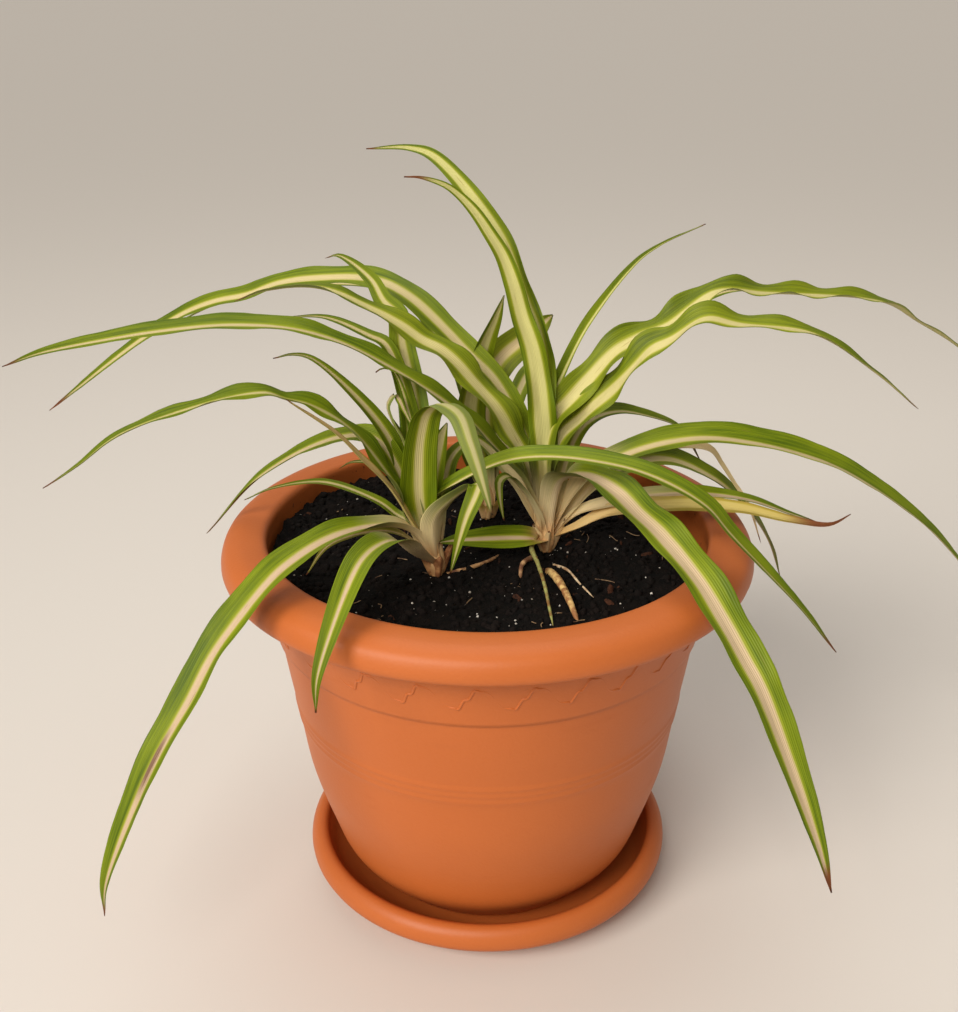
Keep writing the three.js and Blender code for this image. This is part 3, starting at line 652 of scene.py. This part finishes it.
def hand_over(piece, node=None):
    """Puts a finished piece in its body, and hides the solid that it stands in for."""
    if node:
        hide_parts(node)
    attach(piece, "root")


def face_outwards(piece):
    """Turns a closed piece's faces round if it is inside out."""
    shape = bmesh.new()
    shape.from_mesh(piece.data)
    if shape.calc_volume(signed=True) < 0:
        bmesh.ops.reverse_faces(shape, faces=shape.faces)
        shape.to_mesh(piece.data)
    shape.free()


def line_mesh(name, points):
    """A chain of points, given in millimetres."""
    mesh = bpy.data.meshes.new(name)
    mesh.from_pydata([Vector(p) * MM for p in points], [(i, i + 1) for i in range(len(points) - 1)], [])
    return mesh


def curve_through(points, steps):
    """A smooth line through points, which makes no loop where they lie close, in even steps."""
    points = [Vector(p) for p in points]
    first = points[0] * 2 - points[1]
    last = points[-1] * 2 - points[-2]
    padded = [first, *points, last]
    line = []
    for p0, p1, p2, p3 in zip(padded, padded[1:], padded[2:], padded[3:]):
        d0, d1, d2 = ((b - a).length ** 0.5 for a, b in ((p0, p1), (p1, p2), (p2, p3)))
        out1 = ((p1 - p0) / d0 - (p2 - p0) / (d0 + d1) + (p2 - p1) / d1) * d1
        out2 = ((p2 - p1) / d1 - (p3 - p1) / (d1 + d2) + (p3 - p2) / d2) * d1
        for i in range(SPAN_STEPS):
            w = i / SPAN_STEPS
            line.append(p1 + out1 * w + (-3 * p1 + 3 * p2 - 2 * out1 - out2) * w ** 2
                        + (2 * p1 - 2 * p2 + out1 + out2) * w ** 3)
    line.append(points[-1])
    return evenly(line, steps)


def evenly(line, steps):
    """The same line with its points evenly spaced along its length."""
    reach = [0.0]
    for a, b in zip(line, line[1:]):
        reach.append(reach[-1] + (b - a).length)
    result = []
    k = 0
    for i in range(steps + 1):
        target = reach[-1] * i / steps
        while k < len(line) - 2 and reach[k + 1] < target:
            k += 1
        share = (target - reach[k]) / max(reach[k + 1] - reach[k], 1e-9)
        result.append(line[k].lerp(line[k + 1], share))
    return result


def length_of(line):
    return sum((b - a).length for a, b in zip(line, line[1:]))


def outline(entries, step=2.0):
    """A profile as (radius, height): each entry is a corner, or a list of points that one
    smooth line runs through from the corner before it."""
    points = [Vector((entries[0][0], 0, entries[0][1]))]
    for entry in entries[1:]:
        smooth = isinstance(entry, list)
        knots = [points[-1]] + [Vector((r, 0, z)) for r, z in (entry if smooth else [entry])]
        if smooth:
            steps = max(2, round(length_of(knots) / step))
            points += curve_through(knots, steps)[1:]
        else:
            steps = max(1, round(length_of(knots) / STRAIGHT_STEP))
            points += [knots[0].lerp(knots[1], (i + 1) / steps) for i in range(steps)]
    return points


def turned_tree():
    """A body of revolution: the profile's points swept round the Z axis, closed at both ends."""
    plan = geometry_plan("Turned body", (), Points="Int", Sides="Int", Material="Material")
    given = plan.given
    grid = plan.make("GeometryNodeMeshGrid", {
        "Size X": 1, "Size Y": 1, "Vertices X": given.points, "Vertices Y": given.sides + 1})
    x, y, _ = plan.split(plan.place)
    index = plan.maths("ROUND", (x + 0.5) * (given.points - 1))
    sockets = {"Geometry": given.geometry, "Value": plan.place, "Index": index}
    sample = plan.make("GeometryNodeSampleIndex", sockets, data_type="FLOAT_VECTOR")
    radius, _, height = plan.split(sample)
    turn = (y + 0.5) * math.tau
    place = plan.join(radius * cosine(turn), radius * sine(turn), height)
    body = moved(plan, grid, Position=place)
    body = plan.make("GeometryNodeMergeByDistance", {"Geometry": body, "Distance": MERGE_DISTANCE * MM})
    return deliver(plan, body)


def turned(name, entries, sides, material, centre=(0, 0), step=2.0):
    """Builds a body of revolution from its profile."""
    points = outline(entries, step)
    piece = grow(name, TURNED, line_mesh(name, points), points=len(points), sides=sides, material=material)
    piece.data.transform(Matrix.Translation(Vector((*centre, 0)) * MM))
    face_outwards(piece)
    return piece


def leaf_tree():
    """A strap leaf along its rib line: folded into a channel, rolled about the rib and waved
    at the edges, with an upper and a lower face that meet in thin margins."""
    sizes = ("Width", "Foot Share", "Blunt", "Fold", "Foot Roll", "Middle Roll", "Tip Roll", "Wave",
             "Length", "Thickness", *LEAF_TRAITS)
    plan = geometry_plan("Strap leaf", sizes, Level="Vector", Stations="Int", Upper="Material",
                         Under="Material")
    given = plan.given
    grid = plan.make("GeometryNodeMeshGrid", {
        "Size X": 1, "Size Y": 1, "Vertices X": given.stations, "Vertices Y": LEAF_COLUMNS})
    x, y, _ = plan.split(plan.place)
    along = x + 0.5
    across = sine(y * -math.pi)
    edge = plan.maths("ABSOLUTE", across)

    opening = plan.mix(plan.smooth(along, 0, 0.3), given.foot_share, 1.0)
    share = opening * (1 - along ** given.blunt) ** 0.85
    half = plan.maths("MAXIMUM", given.width * share, TIP_WIDTH * MM) * 0.5
    fold = plan.mix(plan.smooth(along, 0, 0.35), math.radians(SHEATH_FOLD), given.fold)
    depth = half * sine(fold)
    reach = half * cosine(fold)

    line = plan.make("GeometryNodeMeshToCurve", {"Mesh": given.geometry})
    rib = plan.make("GeometryNodeSampleCurve", {"Curves": line, "Factor": along}, "Position", mode="FACTOR")
    tangent = Wire(plan, rib.socket.node.outputs["Tangent"])
    level = given.level - tangent * plan.dot(given.level, tangent)
    roll = plan.mix(plan.smooth(along, 0, 0.5), given.foot_roll, given.middle_roll)
    roll = plan.mix(plan.smooth(along, 0.5, 1), roll, given.tip_roll)
    sockets = {"Vector": plan.maths("NORMALIZE", level), "Axis": tangent, "Angle": roll}
    side = plan.make("ShaderNodeVectorRotate", sockets, rotation_type="AXIS_ANGLE")
    up = plan.maths("CROSS_PRODUCT", side, tangent)

    swell = given.wave * sine(along ** 0.6 * math.pi) * (half * 2 / given.width)
    phase = along * given.length * (math.tau / (WAVE_LENGTH * MM)) + across * 1.1
    ripple = plan.noise(plan.join(along * given.length * 55, across, given.seed), 1, 2) - 0.5
    wave = (swell * sine(phase) + ripple * (swell * 0.9 + 0.0011)) * edge ** 1.6
    place = rib - up * (depth * 0.5) + side * (across * reach) + up * (depth * edge ** 1.25 + wave)

    blade = stored(plan, grid, "leaf_map", plan.join(across, along, 0.0), "FLOAT_VECTOR")
    for name in LEAF_TRAITS:
        blade = stored(plan, blade, name, getattr(given, name))
    blade = moved(plan, blade, Position=place)
    across, along, _ = plan.split(recalled(plan, "leaf_map", "FLOAT_VECTOR"))
    ends = plan.smooth(along, 0, 0.01) * (1 - plan.smooth(along, 0.99, 1))
    swelling = plan.maths("SQRT", plan.maths("MAXIMUM", 1 - across * across, 0.0))
    lift = plan.make("GeometryNodeInputNormal") * (given.thickness * 0.5 * swelling * ends)
    lower = moved(plan, blade, Offset=lift * -1)
    lower = plan.make("GeometryNodeFlipFaces", {"Mesh": lower})
    lower = stored(plan, lower, "underside", 1.0, "FLOAT", "FACE")
    both = plan.make("GeometryNodeJoinGeometry", {"Geometry": [moved(plan, blade, Offset=lift), lower]})
    both = plan.make("GeometryNodeMergeByDistance", {"Geometry": both, "Distance": MERGE_DISTANCE * MM})
    is_under = plan.maths("GREATER_THAN", recalled(plan, "underside"), 0.5)
    return deliver(plan, both, (given.upper, True), (given.under, is_under))


def leaf_blade(name, entry, seed, upper, under):
    """Builds a leaf from its entry. The seed sets its ripples and streaks."""
    line = curve_through([entry["start"], *entry["rib"]], RIB_STEPS)
    length = length_of(line)
    foot = CROWNS[entry["crown"]]["foot"]
    tip = entry["rib"][-1]
    heading = math.atan2(tip[1] - foot[1], tip[0] - foot[0])
    rolls = [math.radians(angle) for angle in entry["roll"]]
    traits = {**entry, "leaf_length": length, "seed": seed}
    return grow(name, LEAF, line_mesh(name, line), level=(math.sin(heading), -math.cos(heading), 0.0),
                stations=int(length / LEAF_STEP) + 2, width=entry["width"] * MM,
                foot_share=float(entry["foot"]), blunt=float(entry["blunt"]),
                fold=math.radians(entry["fold"]), foot_roll=rolls[0], middle_roll=rolls[1],
                tip_roll=rolls[2], wave=entry["wave"] * MM, length=length * MM,
                thickness=LEAF_THICKNESS * MM, upper=upper, under=under,
                **{trait: float(traits[trait]) for trait in LEAF_TRAITS})


def joined(name, pieces):
    """Several pieces made into one."""
    if len(pieces) > 1:
        with bpy.context.temp_override(active_object=pieces[0], selected_editable_objects=pieces):
            bpy.ops.object.join()
    pieces[0].name = name
    return pieces[0]


def build_leaves():
    upper = leaf_skin("leaf_upper", False)
    under = leaf_skin("leaf_under", True)
    for number, entry in enumerate(LEAVES + INNER_LEAVES):
        name = entry["name"]
        blade = leaf_blade(f"blade_{name}", entry, number * SEED_STEP, upper, under)
        node = f"leaf_{name}" if entry in LEAVES else None
        hand_over(blade, node)


def tube(plan, line, sides, radius, taper=1.0):
    """A round tube along a line, with its ends closed."""
    ring = plan.make("GeometryNodeCurvePrimitiveCircle", {"Resolution": sides, "Radius": radius})
    sockets = {"Curve": line, "Profile Curve": ring, "Scale": taper, "Fill Caps": True}
    return plan.make("GeometryNodeCurveToMesh", sockets)


def root_tree():
    """A root or thin stem: a tapering, knobbly tube along a line."""
    plan = geometry_plan("Root", ("Radius", "Knobs"), Material="Material")
    given = plan.given
    line = plan.make("GeometryNodeMeshToCurve", {"Mesh": given.geometry})
    along = plan.make("GeometryNodeSplineParameter", output="Factor")
    knob = 1 + (plan.noise(plan.place, 170, 2) - 0.5) * given.knobs
    taper = given.radius * (1 - along * 0.55) * knob * (1 - plan.smooth(along, 0.9, 1) * 0.7)
    root = tube(plan, line, ROOT_SIDES, 1.0, taper)
    dent = (plan.noise(plan.place, 420, 2) - 0.5) * given.radius * 0.25
    return deliver(plan, moved(plan, root, Offset=plan.make("GeometryNodeInputNormal") * dent))


def build_stem(key, crown, skin):
    """The thick stem that a rosette grows from."""
    radius = crown["radius"]
    low = SOIL_LEVEL - STEM_DEPTH
    high = SOIL_LEVEL + STEM_SIDE[-1][1]
    side = [(radius * share, SOIL_LEVEL + rise) for share, rise in STEM_SIDE]
    stem = turned(f"stem_{key}", [(0, low), (radius * 0.5, low), side, (0, high)], STEM_SIDES, skin,
                  crown["foot"], step=1.0)
    hand_over(stem, f"crown_{key}")


def build_sheaths(key, crown, skin):
    """Short leaf bases that stand round a stem, at random angles and heights."""
    is_green = key == "back"
    foot = crown["foot"]
    dice = random.Random(key)
    sheaths = []
    for i in range(SHEATH_COUNT):
        heading = math.tau * (i + dice.uniform(-SHEATH_DRIFT, SHEATH_DRIFT)) / SHEATH_COUNT
        tall = dice.uniform(*SHEATH_HEIGHTS) * (GREEN_HEIGHT_SHARE if is_green else 1)
        out = Vector((math.cos(heading), math.sin(heading)))
        start = (foot[0] + out.x * SHEATH_START, foot[1] + out.y * SHEATH_START, SOIL_LEVEL - 1)
        rib = []
        for outward, upward in SHEATH_STEPS:
            reach = SHEATH_OFFSET + tall * outward
            rib.append((foot[0] + out.x * reach, foot[1] + out.y * reach, SOIL_LEVEL + 1 + tall * upward))
        name = f"sheath_{key}_{i}"
        entry = leaf(name, key, dice.uniform(*SHEATH_WIDTHS), (0, 0, 0), rib, start=start,
                     **(GREEN_SHEATH if is_green else SHEATH))
        sheaths.append(leaf_blade(name, entry, i * SHEATH_SEED_STEP, skin, skin))
    hand_over(joined(f"sheaths_{key}", sheaths))


def build_crowns():
    stem = stem_skin()
    sheath = leaf_skin("sheath_face", False)
    brown_sheath = root_skin("brown_sheath", (208, 152, 98), (146, 92, 54))
    for key, crown in CROWNS.items():
        build_stem(key, crown, stem)
        build_sheaths(key, crown, brown_sheath if key == "left" else sheath)


def build_roots():
    tree = root_tree()
    for root in ROOTS:
        line = line_mesh(root["name"], curve_through(root["points"], ROOT_STEPS))
        piece = grow(root["name"] + "_piece", tree, line, radius=root["radius"] * MM, knobs=root["knobs"],
                     material=root_skin(root["skin"], *root["colours"]))
        face_outwards(piece)
        hand_over(piece)


def soil_bed_tree():
    """The soil turned round the axis, with its top broken up into clods."""
    plan = geometry_plan("Soil bed", ("Level", "Roughness", "Heap"), Material="Material")
    given = plan.given
    x, y, z = plan.split(plan.place)
    rolling = (sine(x * (1000 / 13) + 0.6) * cosine(y * (1000 / 11)) * 0.0009
               + sine((x + y) * (1000 / 7.5)) * 0.0007 - (x * x + y * y) * 0.12)
    clods = plan.noise(plan.place, 95, 3, 0.6) * 1.2 + plan.noise(plan.place, 330, 3, 0.7) * 0.8 - 1.0
    heap = plan.smooth(x * -0.83 + y * 0.55, 0.04, 0.105) * given.heap
    rolling = rolling + heap * (0.2 + plan.noise(plan.place, 170, 3, 0.7) * 1.5)
    is_top = plan.smooth(z, given.level - 0.001, given.level)
    lift = plan.join(0.0, 0.0, (rolling + clods * given.roughness) * is_top)
    return deliver(plan, moved(plan, given.geometry, Offset=lift))


def strewn_plan(title, sizes):
    """A tree that strews copies of something over the top of the soil."""
    return geometry_plan(title, ("Count", "Level", "Reach", *sizes), Seed="Int", Stretch="Vector",
                         Material="Material")


def strewn(plan, shape, turn, size):
    """Copies of a shape at random places on the top of the soil."""
    given = plan.given
    x, y, z = plan.split(plan.place)
    is_near = plan.maths("LESS_THAN", x * x + y * y, given.reach * given.reach)
    is_top = is_near * plan.maths("GREATER_THAN", z, given.level - SOIL_TOP_DEPTH * MM)
    area = given.reach * given.reach * math.pi
    points = plan.make("GeometryNodeDistributePointsOnFaces", {
        "Mesh": given.geometry, "Selection": is_top, "Density": given.count / area,
        "Seed": given.seed}, distribute_method="RANDOM")
    copies = plan.make("GeometryNodeInstanceOnPoints", {
        "Points": points, "Instance": shape, "Rotation": turn, "Scale": plan.join(size, size, size)})
    return plan.make("GeometryNodeRealizeInstances", {"Geometry": copies})


def lump_tree():
    """Irregular lumps on the soil: crumbs, perlite or bark."""
    plan = strewn_plan("Soil lumps", ("Smallest", "Largest", "Sink"))
    given = plan.given
    sockets = {"Radius": 1.0, "Segments": LUMP_SIDES, "Rings": LUMP_RINGS}
    lump = plan.make("GeometryNodeMeshUVSphere", sockets)
    lump = moved(plan, lump, Position=plan.place * given.stretch)
    turn = random_value(plan, (0, 0, 0), (WIDEST_TURN,) * 3, given.seed, "FLOAT_VECTOR")
    size = random_value(plan, 0.0, 1.0, given.seed + 1) ** 2.2
    size = given.smallest + (given.largest - given.smallest) * size
    lumps = strewn(plan, lump, turn, size)
    dent = (plan.noise(plan.place, 520, 2) - 0.5) * given.largest * 1.3
    shift = plan.make("GeometryNodeInputNormal") * dent - plan.join(0.0, 0.0, given.sink)
    return deliver(plan, moved(plan, lumps, Offset=shift))


def rootlet_tree():
    """Short curled rootlets lying on the soil."""
    plan = strewn_plan("Rootlets", ("Length", "Radius"))
    given = plan.given
    thread = plan.make("GeometryNodeCurvePrimitiveLine", {"Start": (0, 0, 0), "End": (1, 0, 0)})
    thread = plan.make("GeometryNodeResampleCurve", {"Curve": thread, "Count": ROOTLET_STEPS})
    turn = plan.join(0.0, 0.0, random_value(plan, 0.0, WIDEST_TURN, given.seed))
    size = given.length * random_value(plan, 0.35, 1.0, given.seed + 2)
    threads = strewn(plan, thread, turn, size)
    bend = plan.make("ShaderNodeTexNoise", {"Vector": plan.place, "Scale": 90, "Detail": 1}, "Color")
    bx, by, bz = plan.split(bend)
    curl = plan.join((bx - 0.5) * given.length * 1.5, (by - 0.5) * given.length * 1.5,
                     (bz - 0.38) * given.length * 0.5)
    threads = moved(plan, threads, Offset=curl)
    return deliver(plan, tube(plan, threads, ROOTLET_SIDES, given.radius))


def strew(name, tree, bed, kind, skin, **sizes):
    """Builds one kind of thing that lies on the soil."""
    piece = grow(name, tree, bed.data.copy(), count=float(kind["count"]), seed=kind["seed"],
                 level=SOIL_LEVEL * MM, reach=kind["reach"] * MM, material=skin, **sizes)
    hand_over(piece)


def build_soil():
    earth = soil_earth()
    rings = [(r, SOIL_LEVEL) for r in range(108, 0, -1)]
    shape = turned("soil_shape", [
        (0, 8.8), (49, 8.8), (65.4, 15.2), (75.6, 28.4), (82.8, 46.2), (91.4, 75.2), (96.8, 110),
        (103.9, BAND_FOOT), (SOIL_RADIUS, SOIL_LEVEL - 3), *rings, (0, SOIL_LEVEL)], SOIL_SIDES, earth)
    bed = grow("soil_bed", soil_bed_tree(), shape.data.copy(), level=SOIL_LEVEL * MM,
               roughness=SOIL_ROUGHNESS * MM, heap=SOIL_HEAP * MM, material=earth)
    bpy.data.objects.remove(shape)
    hand_over(bed, "soil")
    lumps = lump_tree()
    for kind in SOIL_LUMPS:
        smallest, largest = kind["sizes"]
        strew(kind["name"], lumps, bed, kind, soil_lump(kind["skin"], *kind["colours"]),
              smallest=smallest * MM, largest=largest * MM, stretch=kind["stretch"], sink=kind["sink"] * MM)
    strew("soil_rootlets", rootlet_tree(), bed, ROOTLETS, root_skin("rootlet_skin", *ROOTLETS["colours"]),
          length=ROOTLETS["length"] * MM, radius=ROOTLETS["radius"] * MM)


def wave_tree():
    """The running wave that stands out on the pot's band, laid round the band's cone."""
    sizes = ("Periods", "Middle", "Rise", "Lean", "Foot Radius", "Slope", "Foot Height", "Line Radius")
    plan = geometry_plan("Wave relief", sizes, Material="Material")
    given = plan.given
    points = WAVE_PERIODS * WAVE_STEPS
    circle = plan.make("GeometryNodeCurvePrimitiveCircle", {"Resolution": points, "Radius": 1.0})
    along = plan.make("GeometryNodeSplineParameter", output="Factor")
    phase = along * given.periods * math.tau + 0.7
    turn = (along - cosine(phase) * given.lean / given.periods) * math.tau
    rising = plan.maths("MAXIMUM", sine(phase) * -1, 0.0)
    swing = cosine(phase)
    height = swing * 1.4 - swing ** 3 * 0.4 - sine(phase * 4) * rising * 0.38
    height = given.middle + given.rise * height
    sink = 0.4 + plan.maths("MAXIMUM", sine(phase), 0.0) * 0.6
    radius = given.foot_radius + (height - given.foot_height) * given.slope
    radius = radius - given.line_radius * sink
    place = plan.join(radius * cosine(turn), radius * sine(turn), height)
    line = moved(plan, circle, Position=place)
    return deliver(plan, tube(plan, line, WAVE_SIDES, given.line_radius))


def fine_line(height, radius):
    """Points that raise one fine line on the pot's side."""
    crest = radius + FINE_LINE_HEIGHT
    shoulder = radius + FINE_LINE_HEIGHT * 0.8
    return [(radius, height - 1.0), [(shoulder, height - 0.5), (crest, height),
                                     (shoulder, height + 0.5), (radius + 0.1, height + 1.0)]]


def build_pot(plastic):
    recess = POT_SEAT + 2.2
    band_low = (108, BAND_FOOT + 1.2)
    band_high = (BAND_TOP_RADIUS, RIM_UNDERSIDE - 0.6)
    lines = []
    for height in FINE_LINES:
        lines += fine_line(height, SIDE_RADIUS + (height - SIDE_HEIGHT) * SIDE_SLOPE)
    pot = turned("pot_body", [
        (0, recess), (50, recess), (51.5, POT_SEAT), (57, POT_SEAT),
        [(63, 6.4), (70, 14), (80, 26.5), (86.6, 45), (SIDE_RADIUS, SIDE_HEIGHT), (99.2, 103.2)],
        *lines,
        [(101.2, 116.4), (103.8, 134), (106.4, BAND_FOOT - 1)],
        [(106.9, BAND_FOOT - 0.8), (107.8, BAND_FOOT - 0.4), (108.1, BAND_FOOT + 0.4), band_low],
        band_high,
        [(BAND_TOP_RADIUS + 0.6, RIM_UNDERSIDE - 0.1), (BAND_TOP_RADIUS + 1.4, RIM_UNDERSIDE)],
        (RIM_RADIUS - 4, RIM_UNDERSIDE),
        [(RIM_RADIUS - 1.2, RIM_UNDERSIDE + 1), (RIM_RADIUS, RIM_UNDERSIDE + 4), (129.6, 198.6),
         (123.5, RIM_TOP - 0.8), (117, RIM_TOP)],
        [(MOUTH_RADIUS + 1.8, RIM_TOP - 0.4), (MOUTH_RADIUS + 0.2, RIM_TOP - 2), (MOUTH_RADIUS + 0.2, 194)],
        (MOUTH_RADIUS + 1.4, RIM_UNDERSIDE - 1),
        (BAND_FOOT_RADIUS - 3, BAND_FOOT), (97.4, 110), (92, 75), (83.4, 46), (76.2, 28), (66, 14.6),
        (58, 10), (50, POT_FLOOR), (0, POT_FLOOR)], ROUND_SIDES, plastic)
    hand_over(pot, "pot")
    slope = (band_high[0] - band_low[0]) / (band_high[1] - band_low[1])
    # The tree draws its own circle, so the mesh that it runs on is only a holder.
    wave = grow("pot_wave_relief", wave_tree(), line_mesh("wave", [(0, 0, 0), (1, 0, 0)]),
                periods=float(WAVE_PERIODS), middle=WAVE_MIDDLE * MM, rise=WAVE_RISE * MM, lean=WAVE_LEAN,
                foot_radius=band_low[0] * MM, slope=slope, foot_height=band_low[1] * MM,
                line_radius=WAVE_LINE_RADIUS * MM, material=plastic)
    face_outwards(wave)
    hand_over(wave)


def build_saucer(plastic):
    saucer = turned("saucer_dish", [
        (0, 0), (66, 0),
        [(74, 1.4), (85, 6.6), (93.2, 12.2)],
        [(SAUCER_RADIUS - 0.9, 14.4), (SAUCER_RADIUS, 18.4), (96, 23.4),
         (SAUCER_LIP_RADIUS + 2.6, SAUCER_HEIGHT)],
        [(SAUCER_LIP_RADIUS - 1, SAUCER_HEIGHT - 0.9), (88.2, 21.2)],
        [(83, 11), (75, 5), (67, 3)],
        (0, 3)], ROUND_SIDES, plastic)
    hand_over(saucer, "saucer")


def build_lamp(name, kind, place, size, power, colour):
    data = bpy.data.lights.new(name, kind)
    if kind == "SUN":
        data.angle = size
    else:
        data.shape = "DISK"
        data.size = size
    data.energy = power
    data.color = colour
    lamp = bpy.data.objects.new(name, data)
    bpy.context.scene.collection.objects.link(lamp)
    lamp.location = place
    lamp.rotation_euler = (Vector(LAMP_AIM) - Vector(place)).to_track_quat("-Z", "Y").to_euler()


def build_studio():
    shape = bmesh.new()
    bmesh.ops.create_grid(shape, x_segments=1, y_segments=1, size=FLOOR_REACH)
    mesh = bpy.data.meshes.new("floor")
    shape.to_mesh(mesh)
    shape.free()
    floor = bpy.data.objects.new("floor", mesh)
    bpy.context.scene.collection.objects.link(floor)
    plan = material_plan("floor_paint")
    mesh.materials.append(surface(plan, Base_Color=FLOOR_COLOUR, Roughness=0.7))
    world = bpy.data.worlds.new("studio")
    world.use_nodes = True
    air = world.node_tree.nodes["Background"]
    air.inputs["Color"].default_value = AIR_COLOUR
    air.inputs["Strength"].default_value = AIR_STRENGTH
    bpy.context.scene.world = world
    bpy.context.scene.view_settings.view_transform = "Standard"
    for lamp in LAMPS:
        build_lamp(**lamp)


def build_camera():
    data = bpy.data.cameras.new("camera")
    data.lens = FILM_HEIGHT * LENS_REACH / PHOTO_HEIGHT
    data.shift_x = LENS_SHIFT / PHOTO_HEIGHT
    camera = bpy.data.objects.new("camera", data)
    bpy.context.scene.collection.objects.link(camera)
    camera.location = CAMERA_PLACE
    camera.rotation_euler = (math.radians(90 - CAMERA_DROP), 0, 0)
    bpy.context.scene.camera = camera


TURNED = turned_tree()
LEAF = leaf_tree()

build_camera()
build_studio()
plastic = pot_plastic()
build_pot(plastic)
build_saucer(plastic)
build_soil()
build_crowns()
build_roots()
build_leaves()
